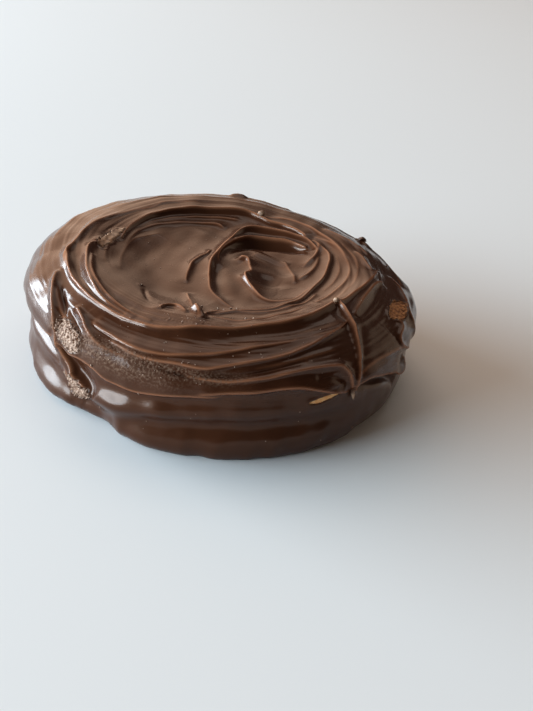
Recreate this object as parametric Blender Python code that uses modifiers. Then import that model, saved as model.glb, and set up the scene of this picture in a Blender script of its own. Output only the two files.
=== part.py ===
"""A round sandwich cookie under a hand-spread chocolate coat: two tea biscuits, the cream
between them, and one coat round all three. Metres, +Z up, standing on z = 0.

The coat is a turned shape with the marks of the spreading knife raised on it. Each mark is a
ridge that follows a curved path over the surface, steep on one side and gentle on the other.
"""

import math

import bpy
import numpy as np
from mathutils import Matrix, Vector, noise

MM = 0.001

# Driving dimensions
COAT_RADIUS = 37.4 * MM
RIM_HEIGHT = 20.4 * MM
BISCUIT_RADIUS = 35.2 * MM
BISCUIT_THICKNESS = 4.9 * MM
BISCUIT_TOP_ROUNDING = 3.4 * MM
BISCUIT_FOOT_ROUNDING = 1.0 * MM
FILLING_RADIUS = 34.6 * MM
FILLING_THICKNESS = 5.4 * MM
COAT_UNDER_BISCUIT = 1.2 * MM
GAP = 0.3 * MM

# Heights of the layers, worked out from the thicknesses
LOWER_BISCUIT_FOOT = COAT_UNDER_BISCUIT + GAP
FILLING_FOOT = LOWER_BISCUIT_FOOT + BISCUIT_THICKNESS + GAP
UPPER_BISCUIT_FOOT = FILLING_FOOT + FILLING_THICKNESS + GAP

# Where the cream is squeezed out to the surface of the coat
SQUEEZE_ANGLE = math.radians(-60.0)
SQUEEZE_SPREAD = math.radians(5.0)
SQUEEZE_REACH = 1.7 * MM

# Fineness of the turned shapes, and how far in mm a crest is rounded off to suit it
COAT_STEPS = 300
LAYER_STEPS = 48
PATH_STEPS = 7
SECTION_STEPS = 7
CREST_ROUNDING = 0.45
COAT_SHARE_KEPT = 0.112

# Half section of the coat from the middle of the top to the foot: radius as a share of the
# coat's radius, height as a share of the rim's height
COAT_SECTION = (
    (0.000, 0.922),
    (0.160, 0.922),
    (0.320, 0.922),
    (0.505, 0.941),
    (0.615, 0.975),
    (0.695, 1.000),
    (0.749, 0.990),
    (0.829, 0.941),
    (0.909, 0.863),
    (0.963, 0.779),
    (0.990, 0.696),
    (0.994, 0.600),
    (0.994, 0.500),
    (0.999, 0.340),
    (0.997, 0.200),
    (0.984, 0.098),
    (0.955, 0.030),
    (0.914, -0.040),
)

# The marks in the chocolate. A path's points are an angle in degrees, seen from above with
# 0 to the right and -90 to the front, and the reach in mm over the surface from the middle.
# height: the crest in mm; left and right: how far each flank runs out, on the left and on the
# right of the way the path goes.
RIDGES = (
    # The rim of the dish, one long sweep of the knife from the back left round the front
    dict(path=((112, 25.5), (129, 25.4), (157, 26.1), (178, 28.1), (192, 30.2)),
         height=0.45, left=0.7, right=2.0),
    dict(path=((190, 30.0), (210, 30.5), (229, 31.1), (249, 31.1), (264, 29.4), (289, 27.5),
               (313, 26.0), (337, 26.4), (354, 27.7), (364, 29.1)),
         height=1.2, left=1.5, right=2.4),
    # The second crest inside it on the left
    dict(path=((178, 23.6), (181, 25.4), (195, 26.8), (209, 27.6), (230, 29.4), (248, 30.3)),
         height=0.9, left=1.6, right=0.8),
    # The back crest, steep towards the dish
    dict(path=((172, 22.4), (149, 22.3), (127, 22.5), (104, 22.7), (77, 23.2), (54, 25.0),
               (33, 24.9)),
         height=1.1, left=3.2, right=0.7),
    # The edge of the dish's floor
    dict(path=((200, 23.5), (181, 22.7), (164, 22.3), (143, 20.2), (109, 18.7), (95, 16.6)),
         height=0.3, left=1.4, right=0.6),
    # The loop round the pocket in the floor
    dict(path=((40, 20.6), (55, 18.4), (70, 17.0), (82, 16.2), (87, 13.8), (98, 8.6),
               (134, 3.2)),
         height=1.5, left=2.0, right=0.8),
    dict(path=((98, 8.6), (134, 3.2), (222, 3.6), (251, 9.0), (267, 14.1), (281, 18.7)),
         height=0.55, left=0.7, right=1.3),
    # The far side of the loop, coming back round the right
    dict(path=((39, 22.0), (26, 22.1), (9, 20.4), (-6, 19.0), (-21, 18.6), (-39, 18.3),
               (-52, 18.9), (-67, 19.0), (-79, 18.7), (-92, 20.8)),
         height=0.5, left=1.8, right=1.2),
    # The rim of the round mark left by the tip of the knife
    dict(path=((75, 5.6), (53, 4.2), (18, 4.8), (-18, 5.4), (-55, 7.2), (-61, 12.0),
               (-59, 16.6), (-50, 18.3)),
         height=0.65, left=2.0, right=0.7),
    # Short marks on the floor
    dict(path=((126, 6.0), (148, 6.0), (184, 6.6), (211, 8.4), (227, 10.2), (238, 12.0)),
         height=0.35, left=0.8, right=0.6),
    dict(path=((245, 14.8), (250, 16.5), (256, 21.2), (259, 23.5), (265, 26.3)),
         height=0.4, left=0.7, right=1.2),
    dict(path=((222, 20.0), (228, 20.6), (238, 24.0), (244, 26.3)),
         height=0.3, left=0.8, right=1.0),
    # The short ridge on the right of the rim
    dict(path=((-3, 31.2), (-5, 29.7), (-15, 28.6), (-25, 28.6), (-35, 29.6)),
         height=0.65, left=1.0, right=1.6),
    # The fold that runs down from the rim at the front right
    dict(path=((-35, 25.7), (-39, 29.2), (-42, 32.6), (-46, 35.4), (-49, 38.6), (-49, 42.6)),
         height=1.4, left=1.5, right=1.0),
    # Terraces on the front shoulder
    dict(path=((232, 34.8), (239, 35.2), (253, 35.7), (266, 34.3), (280, 32.1), (293, 31.3)),
         height=0.65, left=1.8, right=0.5),
    dict(path=((247, 36.6), (259, 36.4), (276, 35.5), (287, 34.0), (303, 32.3), (319, 30.3)),
         height=0.8, left=1.8, right=0.6),
    dict(path=((262, 38.0), (282, 37.6), (294, 36.4), (301, 36.6), (306, 38.0), (309, 40.8)),
         height=0.9, left=0.7, right=1.1),
    # The edge where the top coat ends over the side
    dict(path=((222, 39.7), (228, 41.0), (242, 41.4), (251, 42.6), (268, 41.2), (279, 40.8),
               (288, 39.6), (297, 39.8), (306, 41.8), (311, 42.3)),
         height=0.75, left=5.0, right=0.4),
    # Folds on the left shoulder
    dict(path=((203, 32.8), (209, 34.2), (215, 35.7), (222, 37.5)),
         height=0.9, left=1.5, right=0.7),
    dict(path=((225, 34.7), (230, 35.3), (235, 37.4), (242, 39.8)),
         height=0.8, left=1.0, right=1.4),
    # The sheet that hangs down the left side, and its free edge
    dict(path=((223, 38.6), (224, 40.7), (228, 42.8), (232, 45.6), (238, 47.6)),
         height=0.8, left=0.5, right=7.0),
    # The sheet that hangs down the right side, and its free edge
    dict(path=((311, 40.6), (318, 39.8), (326, 41.1), (335, 44.8), (341, 48.8), (350, 50.6)),
         height=0.8, left=6.0, right=0.4),
    dict(path=((344, 34.6), (338, 36.6), (333, 38.6), (336, 40.0)),
         height=0.5, left=1.0, right=1.0),
    dict(path=((355, 35.3), (344, 36.6), (339, 39.6)),
         height=0.5, left=1.0, right=1.0),
    # Long sweeps over the back shoulder and runs down the back
    dict(path=((175, 33.4), (150, 32.6), (120, 32.4), (90, 31.6), (60, 31.0)),
         height=0.4, left=2.2, right=0.8),
    dict(path=((128, 36.8), (95, 35.6), (60, 34.2), (25, 34.4), (5, 35.6)),
         height=0.45, left=1.8, right=0.9),
    dict(path=((172, 42.6), (150, 44.2), (128, 42.0), (104, 45.4), (80, 43.2), (55, 46.4),
               (30, 43.6), (8, 46.8)),
         height=0.7, left=0.4, right=5.0),
)

# Scoops: depth and half width in mm
SCOOPS = (
    # The pocket inside the loop
    dict(path=((93, 11.2), (80, 13.2), (64, 15.4), (48, 18.2)), depth=1.0, width=2.2),
    # The round mark
    dict(path=((20, 13.5), (-5, 12.0)), depth=0.35, width=5.5),
    # The hollow under the front crest, between the rim and the first terrace
    dict(path=((232, 33.2), (250, 33.4), (268, 31.9), (290, 29.4), (310, 28.6)),
         depth=0.35, width=2.2),
    # The dark channel between the two front terraces
    dict(path=((262, 36.9), (280, 36.5), (300, 34.8)), depth=0.4, width=0.9),
)

# Places where the coat is torn and the layers under it show: angle, reach, and half sizes in
# mm along the rim, down the surface and into it
WINDOWS = dict(
    tear_right=dict(angle=-18, reach=34.2, along=3.4, down=1.5, deep=2.4),
    tear_upper_left=dict(angle=-133, reach=39.0, along=2.6, down=1.2, deep=4.0),
    tear_lower_left=dict(angle=-128, reach=47.4, along=2.4, down=1.0, deep=3.6),
    tear_front_seam=dict(angle=-60, reach=41.6, along=2.3, down=0.45, deep=2.2),
)


def clear_scene():
    for thing in list(bpy.data.objects):
        bpy.data.objects.remove(thing, do_unlink=True)


def new_collection(name):
    collection = bpy.data.collections.new(name)
    bpy.context.scene.collection.children.link(collection)
    return collection


def make_material(name, colour, roughness):
    material = bpy.data.materials.new(name)
    material.use_nodes = True
    shader = material.node_tree.nodes["Principled BSDF"]
    shader.inputs["Base Color"].default_value = (*colour, 1.0)
    shader.inputs["Roughness"].default_value = roughness
    shader.inputs["Metallic"].default_value = 0.0
    return material


def smooth_path(knots, steps):
    """Points on a smooth curve through the knots, with the given steps between each two."""
    knots = np.asarray(knots, float)
    ends = np.vstack([2 * knots[0] - knots[1], knots, 2 * knots[-1] - knots[-2]])
    t = np.linspace(0.0, 1.0, steps, endpoint=False)[:, None]
    points = []
    for a, b, c, d in zip(ends[:-3], ends[1:-2], ends[2:-1], ends[3:]):
        points.append(0.5 * (2 * b + (c - a) * t + (2 * a - 5 * b + 4 * c - d) * t**2
                             + (3 * b - a - 3 * c + d) * t**3))
    points.append(knots[-1:])
    return np.concatenate(points)


def turned(name, outline, steps, collection):
    """A closed body turned from an outline of (radius, height) that runs from top to foot."""
    mesh = bpy.data.meshes.new(name + "_outline")
    corners = [(radius, 0.0, height) for radius, height in outline]
    mesh.from_pydata(corners, [(i, i + 1) for i in range(len(corners) - 1)], [])
    guide = bpy.data.objects.new(name + "_outline", mesh)
    collection.objects.link(guide)
    screw = guide.modifiers.new("Turn", "SCREW")
    screw.steps = steps
    screw.render_steps = steps
    screw.use_merge_vertices = True
    screw.merge_threshold = 0.01 * MM
    bpy.context.view_layer.update()
    evaluated = guide.evaluated_get(bpy.context.evaluated_depsgraph_get())
    body = bpy.data.objects.new(name, bpy.data.meshes.new_from_object(evaluated))
    body.data.name = name
    collection.objects.link(body)
    bpy.data.objects.remove(guide, do_unlink=True)
    bpy.data.meshes.remove(mesh)
    return body


def vertex_array(thing):
    points = np.empty(len(thing.data.vertices) * 3)
    thing.data.vertices.foreach_get("co", points)
    return points.reshape(-1, 3)


def set_vertices(thing, points):
    thing.data.vertices.foreach_set("co", points.ravel())
    thing.data.update()


def arc(centre_radius, centre_height, radius, start, end, steps):
    """Points on a circular arc of the outline, angles in degrees from straight out."""
    angles = np.radians(np.linspace(start, end, steps + 1))
    return [(centre_radius + radius * math.cos(a), centre_height + radius * math.sin(a))
            for a in angles]


def biscuit_outline(clearance):
    """Outline of a biscuit standing on its flat side, grown by the clearance."""
    top = BISCUIT_TOP_ROUNDING
    foot = BISCUIT_FOOT_ROUNDING
    outline = [(0.0, BISCUIT_THICKNESS + clearance)]
    outline += arc(BISCUIT_RADIUS - top, BISCUIT_THICKNESS - top, top + clearance, 90, 0, 4)
    outline += arc(BISCUIT_RADIUS - foot, foot, foot + clearance, 0, -90, 2)
    outline.append((0.0, -clearance))
    return outline


def biscuit(name, foot, upside_down, clearance, collection):
    """One biscuit with its rounded side away from the filling."""
    body = turned(name, biscuit_outline(clearance), LAYER_STEPS, collection)
    points = vertex_array(body)
    if upside_down:
        points[:, 1:] *= -1.0
        points[:, 2] += BISCUIT_THICKNESS
    points[:, 2] += foot
    set_vertices(body, points)
    return body


def filling(name, clearance, collection):
    """The cream layer, with the tongue that is squeezed out through the coat."""
    rounding = 0.35 * FILLING_THICKNESS
    outline = [(0.0, FILLING_THICKNESS + clearance)]
    outline += arc(FILLING_RADIUS - rounding, FILLING_THICKNESS - rounding,
                   rounding + clearance, 90, 0, 2)
    outline += arc(FILLING_RADIUS - rounding, rounding, rounding + clearance, 0, -90, 2)
    outline.append((0.0, -clearance))
    body = turned(name, outline, LAYER_STEPS, collection)
    points = vertex_array(body)
    angle = np.arctan2(points[:, 1], points[:, 0])
    radius = np.hypot(points[:, 0], points[:, 1])
    share = np.clip(radius / FILLING_RADIUS, 0.0, 1.0) ** 12
    upper = np.clip(points[:, 2] / FILLING_THICKNESS, 0.0, 1.0)
    tongue = np.exp(-(((angle - SQUEEZE_ANGLE) / SQUEEZE_SPREAD) ** 2)) * share * upper
    points[:, 0] += SQUEEZE_REACH * tongue * np.cos(angle)
    points[:, 1] += SQUEEZE_REACH * tongue * np.sin(angle)
    points[:, 2] += FILLING_FOOT
    set_vertices(body, points)
    return body


def unrolled(knots):
    """Angle and reach turned into flat coordinates, as if the surface were pressed flat."""
    angle, reach = np.radians(np.array(knots, float)[:, 0]), np.array(knots, float)[:, 1]
    return np.stack([reach * np.cos(angle), reach * np.sin(angle)], axis=-1)


def beside_path(points, knots):
    """For each point: its distance to the path, whether it lies left of it, and how far along
    the path its nearest point is, from 0 to 1."""
    path = smooth_path(unrolled(knots), PATH_STEPS)
    start, run = path[:-1], np.diff(path, axis=0)
    length = np.linalg.norm(run, axis=1)
    travelled = np.concatenate([[0.0], np.cumsum(length)])
    offset = points[:, None, :] - start[None]
    share = np.clip((offset * run).sum(-1) / length**2, 0.0, 1.0)
    apart = offset - share[..., None] * run
    distance = np.linalg.norm(apart, axis=-1)
    nearest = distance.argmin(axis=1)
    rows = np.arange(len(points))
    away = apart[rows, nearest]
    way = run[nearest]
    left = way[:, 0] * away[:, 1] - way[:, 1] * away[:, 0] > 0.0
    along = travelled[nearest] + share[rows, nearest] * length[nearest]
    return distance[rows, nearest], left, along / travelled[-1]


def fade_at_ends(along, share=0.16):
    """1 along the middle of a path, falling smoothly to 0 at both ends."""
    ramp = np.clip(np.minimum(along, 1.0 - along) / share, 0.0, 1.0)
    return ramp * ramp * (3.0 - 2.0 * ramp)


def relief(points):
    """Height of the chocolate over the plain turned shape, in mm, at unrolled points."""
    raised = np.zeros(len(points))
    for ridge in RIDGES:
        distance, left, along = beside_path(points, ridge["path"])
        reach = np.where(left, ridge["left"], ridge["right"])
        distance = np.hypot(distance, CREST_ROUNDING) - CREST_ROUNDING
        crest = ridge["height"] * np.exp(-distance / reach) * fade_at_ends(along)
        raised += crest**3
    height = np.cbrt(raised)
    for scoop in SCOOPS:
        distance, _, along = beside_path(points, scoop["path"])
        bowl = np.exp(-((distance / scoop["width"]) ** 2))
        height -= scoop["depth"] * bowl * fade_at_ends(along, 0.3)
    return height


def coat_section():
    """The coat's half section in mm as a smooth curve, with its normals and its reach."""
    knots = np.array(COAT_SECTION) * (COAT_RADIUS / MM, RIM_HEIGHT / MM)
    section = smooth_path(knots, SECTION_STEPS)
    section[:, 0] = np.maximum(section[:, 0], 0.0)
    tangent = np.gradient(section, axis=0)
    tangent /= np.linalg.norm(tangent, axis=1)[:, None]
    normal = np.stack([-tangent[:, 1], tangent[:, 0]], axis=-1)
    reach = np.concatenate([[0.0], np.cumsum(np.linalg.norm(np.diff(section, axis=0), axis=1))])
    return section, normal, reach


def surface_place(angle, reach):
    """Position and outward normal of the plain coat at an angle in degrees and a reach."""
    section, normal, lengths = coat_section()
    radius, height = (np.interp(reach, lengths, section[:, i]) for i in (0, 1))
    out, up = (np.interp(reach, lengths, normal[:, i]) for i in (0, 1))
    turn = Matrix.Rotation(math.radians(angle), 3, "Z")
    return turn @ Vector((radius, 0.0, height)) * MM, (turn @ Vector((out, 0.0, up))).normalized()


def coat_outside(name, collection):
    """The outer body of the coat: the turned section with the marks of the knife raised."""
    section, normal, lengths = coat_section()
    outline = [(r * MM, z * MM) for r, z in section]
    outline.append((0.0, outline[-1][1]))
    body = turned(name, outline, COAT_STEPS, collection)
    points = vertex_array(body)
    angle = np.arctan2(points[:, 1], points[:, 0])
    radius = np.hypot(points[:, 0], points[:, 1])
    place = np.stack([radius, points[:, 2]], axis=-1) / MM
    nearest = np.linalg.norm(place[:, None] - section[None], axis=-1).argmin(axis=1)
    reach = lengths[nearest]
    flat = np.stack([reach * np.cos(angle), reach * np.sin(angle)], axis=-1)
    foot_fade = np.clip((lengths[-1] - reach) / 4.0, 0.0, 1.0)
    height = relief(flat) * foot_fade * MM
    height[(radius < 1e-6) & (points[:, 2] < 0.0)] = 0.0
    out, up = normal[nearest, 0], normal[nearest, 1]
    points[:, 0] += height * out * np.cos(angle)
    points[:, 1] += height * out * np.sin(angle)
    points[:, 2] += height * up
    set_vertices(body, points)
    return body


def torn_window(name, angle, reach, along, down, deep, collection):
    """A lump with a ragged outline, set into the coat's wall to cut a tear."""
    bpy.ops.mesh.primitive_ico_sphere_add(subdivisions=2, radius=1.0)
    lump = bpy.context.object
    lump.name = name
    for owner in list(lump.users_collection):
        owner.objects.unlink(lump)
    collection.objects.link(lump)
    place, normal = surface_place(angle, reach)
    sideways = Vector((0.0, 0.0, 1.0)).cross(normal).normalized()
    downward = normal.cross(sideways)
    for vertex in lump.data.vertices:
        ragged = 1.0 + 0.3 * noise.noise(vertex.co * 1.7 + Vector((angle, reach, 0.0)))
        x, y, z = vertex.co * ragged * MM
        vertex.co = place + sideways * x * along + downward * y * down + normal * z * deep
    return lump


def cut(body, tool):
    """Takes the tool's volume out of the body, leaving the tool as a hidden guide."""
    tool.hide_render = True
    tool.display_type = "WIRE"
    modifier = body.modifiers.new("Cut " + tool.name, "BOOLEAN")
    modifier.operation = "DIFFERENCE"
    modifier.solver = "EXACT"
    modifier.object = tool


def finish(body, material, crease_angle):
    body.data.materials.clear()
    body.data.materials.append(material)
    body.data.shade_smooth()
    body.data.set_sharp_from_angle(angle=math.radians(crease_angle))


def stand_on_origin(coat, things):
    """Moves everything sideways so that the middle of the coat's box is over the origin."""
    bpy.context.view_layer.update()
    evaluated = coat.evaluated_get(bpy.context.evaluated_depsgraph_get())
    corners = np.array([vertex.co[:2] for vertex in evaluated.data.vertices])
    middle = (corners.min(axis=0) + corners.max(axis=0)) / 2
    for thing in things:
        thing.location.x -= middle[0]
        thing.location.y -= middle[1]


def build():
    clear_scene()
    cookie = new_collection("chocolate_sandwich_cookie")
    tools = new_collection("hollows_and_tears")

    chocolate = make_material("chocolate", (0.062, 0.030, 0.021), 0.32)
    baked = make_material("baked biscuit", (0.40, 0.17, 0.06), 0.75)
    cream = make_material("cream", (0.66, 0.38, 0.19), 0.55)

    lower = biscuit("bottom_biscuit", LOWER_BISCUIT_FOOT, True, 0.0, cookie)
    upper = biscuit("top_biscuit", UPPER_BISCUIT_FOOT, False, 0.0, cookie)
    layer = filling("cream_filling", 0.0, cookie)
    finish(lower, baked, 40)
    finish(upper, baked, 40)
    finish(layer, cream, 40)

    coat = coat_outside("chocolate_coat", cookie)
    finish(coat, chocolate, 60)
    thin = coat.modifiers.new("Thin out flat places", "DECIMATE")
    thin.ratio = COAT_SHARE_KEPT
    thin.use_collapse_triangulate = True

    cut(coat, biscuit("hollow_lower", LOWER_BISCUIT_FOOT, True, GAP, tools))
    cut(coat, biscuit("hollow_upper", UPPER_BISCUIT_FOOT, False, GAP, tools))
    cut(coat, filling("hollow_middle", GAP, tools))
    for name, sizes in WINDOWS.items():
        cut(coat, torn_window(name, collection=tools, **sizes))

    # The coat has set on a flat tray, so its foot is cut flat at z = 0
    bpy.ops.mesh.primitive_cube_add(size=1.0, location=(0.0, 0.0, -5.0 * MM))
    tray = bpy.context.object
    tray.name = "flat_foot"
    tray.scale = (100.0 * MM, 100.0 * MM, 10.0 * MM)
    for owner in list(tray.users_collection):
        owner.objects.unlink(tray)
    tools.objects.link(tray)
    cut(coat, tray)

    stand_on_origin(coat, list(cookie.objects) + list(tools.objects))


build()
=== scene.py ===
# %% [markdown]
# # A chocolate sandwich cookie
# Two tea biscuits with cream between them stand under one coat of chocolate that was spread by
# hand. The solids hold the layers and the main marks of the knife. This lesson makes what the eye
# stops at: the sharp crests and smooth hollows of the coat, its gloss, the places where it tore
# and the crumbs that stick to it.

# %% The frame
import math

import bpy
import numpy as np
from mathutils import Matrix, Vector


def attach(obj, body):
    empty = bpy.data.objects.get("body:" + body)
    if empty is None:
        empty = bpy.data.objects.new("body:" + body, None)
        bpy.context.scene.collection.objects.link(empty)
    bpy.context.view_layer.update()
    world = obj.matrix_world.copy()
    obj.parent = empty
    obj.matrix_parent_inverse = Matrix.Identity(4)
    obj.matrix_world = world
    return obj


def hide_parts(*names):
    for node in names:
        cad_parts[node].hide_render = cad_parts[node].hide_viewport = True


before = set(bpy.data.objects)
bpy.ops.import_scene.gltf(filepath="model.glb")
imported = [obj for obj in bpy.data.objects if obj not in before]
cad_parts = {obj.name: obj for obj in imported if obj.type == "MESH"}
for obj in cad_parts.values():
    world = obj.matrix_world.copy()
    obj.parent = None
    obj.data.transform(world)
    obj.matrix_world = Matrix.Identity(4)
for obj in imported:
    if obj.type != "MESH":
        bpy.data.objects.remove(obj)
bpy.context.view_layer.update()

MM = 0.001

# %% [markdown]
# ## The camera
# The coat is looked down on from about thirty degrees, by a camera that is held a little tilted.
# A camera that tracks an empty would be quick to aim, but its horizon stays level, so the view is
# built from three turns: yaw, pitch and roll. The lens is given as a distance in pixels of the
# picture's long side, which a sensor of 36 mm turns into a focal length.

# %% The camera
CAMERA_PLACE = Vector((0.505, -175.324, 101.341)) * MM
CAMERA_YAW = math.radians(3.2366)
CAMERA_PITCH = math.radians(30.0437)
CAMERA_ROLL = math.radians(8.2484)
LENS_PIXELS = 1000.0
LONG_SIDE_PIXELS = 711.0
SENSOR = 36.0


def add_camera():
    """A camera at its place, turned by yaw, pitch and roll."""
    forward = Vector((math.sin(CAMERA_YAW) * math.cos(CAMERA_PITCH),
                      math.cos(CAMERA_YAW) * math.cos(CAMERA_PITCH),
                      -math.sin(CAMERA_PITCH)))
    level = Vector((math.cos(CAMERA_YAW), -math.sin(CAMERA_YAW), 0.0))
    upright = level.cross(forward)
    right = math.cos(CAMERA_ROLL) * level + math.sin(CAMERA_ROLL) * upright
    up = math.cos(CAMERA_ROLL) * upright - math.sin(CAMERA_ROLL) * level
    turn = Matrix((right, up, -forward)).transposed()
    bpy.ops.object.camera_add()
    camera = bpy.context.object
    camera.name = "camera"
    camera.matrix_world = Matrix.Translation(CAMERA_PLACE) @ turn.to_4x4()
    camera.data.sensor_fit = "AUTO"
    camera.data.sensor_width = SENSOR
    camera.data.lens = LENS_PIXELS / LONG_SIDE_PIXELS * SENSOR
    camera.data.clip_start = 10.0 * MM
    bpy.context.scene.camera = camera


add_camera()
bpy.context.scene.view_settings.view_transform = "Standard"
print("camera", tuple(round(v / MM) for v in CAMERA_PLACE), "mm")

# %% [markdown]
# ## Nodes
# A material is a small net of nodes. It could be wired by hand in the Shader Editor; in a script
# a few helpers keep the wiring short: one feeds a socket with a value or with another node's
# output, one adds a node and feeds its inputs by their names, and one mixes two colours.

# %% Nodes
# A Mix node has sockets for numbers and for colours; these are the ones for colours
MIX_SHARE = 0
MIX_FIRST = 6
MIX_SECOND = 7
MIX_RESULT = 2


def new_material(name):
    """A material with an empty node tree but for its shader, and the shader."""
    material = bpy.data.materials.new(name)
    material.use_nodes = True
    return material, material.node_tree.nodes["Principled BSDF"]


def feed(socket, value):
    """Gives the socket a value, or links it to the output of another node."""
    if isinstance(value, bpy.types.NodeSocket):
        socket.id_data.links.new(value, socket)
    else:
        socket.default_value = value


def set_up(node, **values):
    """Feeds the input that each value is named after, or else sets the node's property."""
    for name, value in values.items():
        label = name.replace("_", " ")
        sockets = [socket for socket in node.inputs if socket.name.lower() == label]
        if sockets:
            feed(sockets[0], value)
        else:
            setattr(node, name, value)


def add_node(owner, kind, **values):
    """Adds a node to a material or a world."""
    node = owner.node_tree.nodes.new(kind)
    set_up(node, **values)
    return node


def mixed_colour(owner, share, first, second):
    """The output of a mix from the first colour to the second."""
    mix = add_node(owner, "ShaderNodeMix", data_type="RGBA")
    feed(mix.inputs[MIX_SHARE], share)
    feed(mix.inputs[MIX_FIRST], first)
    feed(mix.inputs[MIX_SECOND], second)
    return mix.outputs[MIX_RESULT]


# %% [markdown]
# ## The floor and the light
# Glossy chocolate shows mostly what is around it, so the light is half of its look. A picture of a
# room could light it, but a few soft lamps say more plainly where each highlight comes from. The
# room is dim, with a warm pale wall low at the back, which the dish mirrors. One big soft window
# low on the left gives the bluish white edges, and two weak lamps, one above and a warm one on the
# right, fill in. Nothing bright stands in front, so the side towards the viewer stays dark. The
# floor is pale paper, wide enough to fill the view.

# %% The floor
FLOOR_SIZE = 8.0
PAPER = (0.78, 0.77, 0.75, 1.0)
PAPER_PALER = (0.82, 0.81, 0.79, 1.0)


def add_floor():
    bpy.ops.object.select_all(action="DESELECT")
    bpy.ops.mesh.primitive_plane_add(size=FLOOR_SIZE)
    floor = bpy.context.object
    floor.name = "pale_floor"
    material, shader = new_material("pale paper")
    place = add_node(material, "ShaderNodeTexCoord").outputs["Object"]
    cloud = add_node(material, "ShaderNodeTexNoise", vector=place, scale=3.0, detail=2.0)
    set_up(shader, base_color=mixed_colour(material, cloud.outputs["Fac"], PAPER, PAPER_PALER),
           roughness=0.8, specular_ior_level=0.2)
    floor.data.materials.append(material)


add_floor()
print("floor:", FLOOR_SIZE, "m wide")

# %% The light
GLOW_WAY = (-0.56, 0.79, 0.25)
GLOW_BORDER = 0.66
GLOW_MIDDLE = 0.98
ROOM_DARK = (0.078, 0.060, 0.050, 1.0)
ROOM_GLOW = (1.75, 1.2, 0.86, 1.0)


def add_soft_light(name, place, width, height, power, colour):
    """An area light that faces the cookie; sizes in metres, power in watts."""
    bpy.ops.object.light_add(type="AREA", location=place)
    lamp = bpy.context.object
    lamp.name = name
    lamp.data.shape = "RECTANGLE"
    lamp.data.size = width
    lamp.data.size_y = height
    lamp.data.energy = power
    lamp.data.color = colour
    lamp.rotation_euler = Vector(place).to_track_quat("Z", "Y").to_euler()


def add_room():
    """A dim room with a warm pale wall low at the back."""
    world = bpy.data.worlds.new("room")
    bpy.context.scene.world = world
    world.use_nodes = True
    toward = add_node(world, "ShaderNodeVectorMath", operation="DOT_PRODUCT")
    feed(toward.inputs[0], add_node(world, "ShaderNodeTexCoord").outputs["Generated"])
    feed(toward.inputs[1], GLOW_WAY)
    glow = add_node(world, "ShaderNodeMapRange", interpolation_type="SMOOTHSTEP",
                    value=toward.outputs["Value"], from_min=GLOW_BORDER, from_max=GLOW_MIDDLE)
    feed(world.node_tree.nodes["Background"].inputs["Color"],
         mixed_colour(world, glow.outputs["Result"], ROOM_DARK, ROOM_GLOW))


add_soft_light("window", place=(-1.05, -0.06, 0.27), width=1.8, height=0.40, power=50.0,
               colour=(0.68, 0.86, 1.0))
add_soft_light("ceiling", place=(0.0, 0.6, 1.1), width=1.2, height=0.8, power=3.2,
               colour=(1.0, 0.94, 0.87))
add_soft_light("warm_fill", place=(1.2, 0.5, 0.4), width=1.2, height=0.8, power=1.7,
               colour=(1.0, 0.82, 0.62))
add_room()

# %% [markdown]
# ## The form of the coat
# Without its marks the coat is a turned form. A half section gives it: a shallow dish, a rim, a
# round shoulder, a nearly upright side and a flat foot. Points on the coat are named by their
# angle, seen from above with 0 to the right and 270 to the front, and by their reach, the way in
# millimetres over the surface from the middle of the top. Angle and reach taken as polar
# coordinates lay the whole coat flat, and on that flat sheet the marks of the knife are drawn.
# The coat could be sculpted instead, but marks that are drawn as paths can be read and moved.

# %% The form of the coat
COAT_RADIUS = 37.4
RIM_HEIGHT = 20.4
COAT_SECTION = (
    (0.000, 0.922),
    (0.160, 0.922),
    (0.320, 0.922),
    (0.505, 0.941),
    (0.615, 0.975),
    (0.695, 1.000),
    (0.749, 0.990),
    (0.829, 0.941),
    (0.909, 0.863),
    (0.963, 0.779),
    (0.990, 0.696),
    (0.994, 0.600),
    (0.994, 0.500),
    (0.999, 0.340),
    (0.997, 0.200),
    (0.984, 0.098),
    (0.955, 0.030),
    (0.914, 0.000),
)
SECTION_STEPS = 24
UNDERSIDE_STEPS = 30
FOOT_EDGE = 0.98


def smooth_path(knots, steps):
    """Points on a smooth curve through the knots, with the given steps between each two."""
    knots = np.asarray(knots, float)
    ends = np.vstack([2 * knots[0] - knots[1], knots, 2 * knots[-1] - knots[-2]])
    t = np.linspace(0.0, 1.0, steps, endpoint=False)[:, None]
    points = []
    for a, b, c, d in zip(ends[:-3], ends[1:-2], ends[2:-1], ends[3:]):
        points.append(0.5 * (2 * b + (c - a) * t + (2 * a - 5 * b + 4 * c - d) * t**2
                             + (3 * b - a - 3 * c + d) * t**3))
    points.append(knots[-1:])
    return np.concatenate(points)


def lengths_along(line):
    return np.concatenate([[0.0], np.cumsum(np.linalg.norm(np.diff(line, axis=0), axis=1))])


SECTION = smooth_path(np.array(COAT_SECTION) * (COAT_RADIUS, RIM_HEIGHT), SECTION_STEPS)
SECTION = np.maximum(SECTION, 0.0)
FOOT_REACH = lengths_along(SECTION)[-1]
SECTION = np.vstack([SECTION, [(SECTION[-1, 0] * share, 0.0)
                               for share in np.linspace(FOOT_EDGE, 0.0, UNDERSIDE_STEPS)]])
SECTION_REACH = lengths_along(SECTION)
SECTION_WAY = np.gradient(SECTION, SECTION_REACH, axis=0)
SECTION_WAY /= np.linalg.norm(SECTION_WAY, axis=1)[:, None]
print("reach at the foot:", round(FOOT_REACH, 1), "mm")


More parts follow.
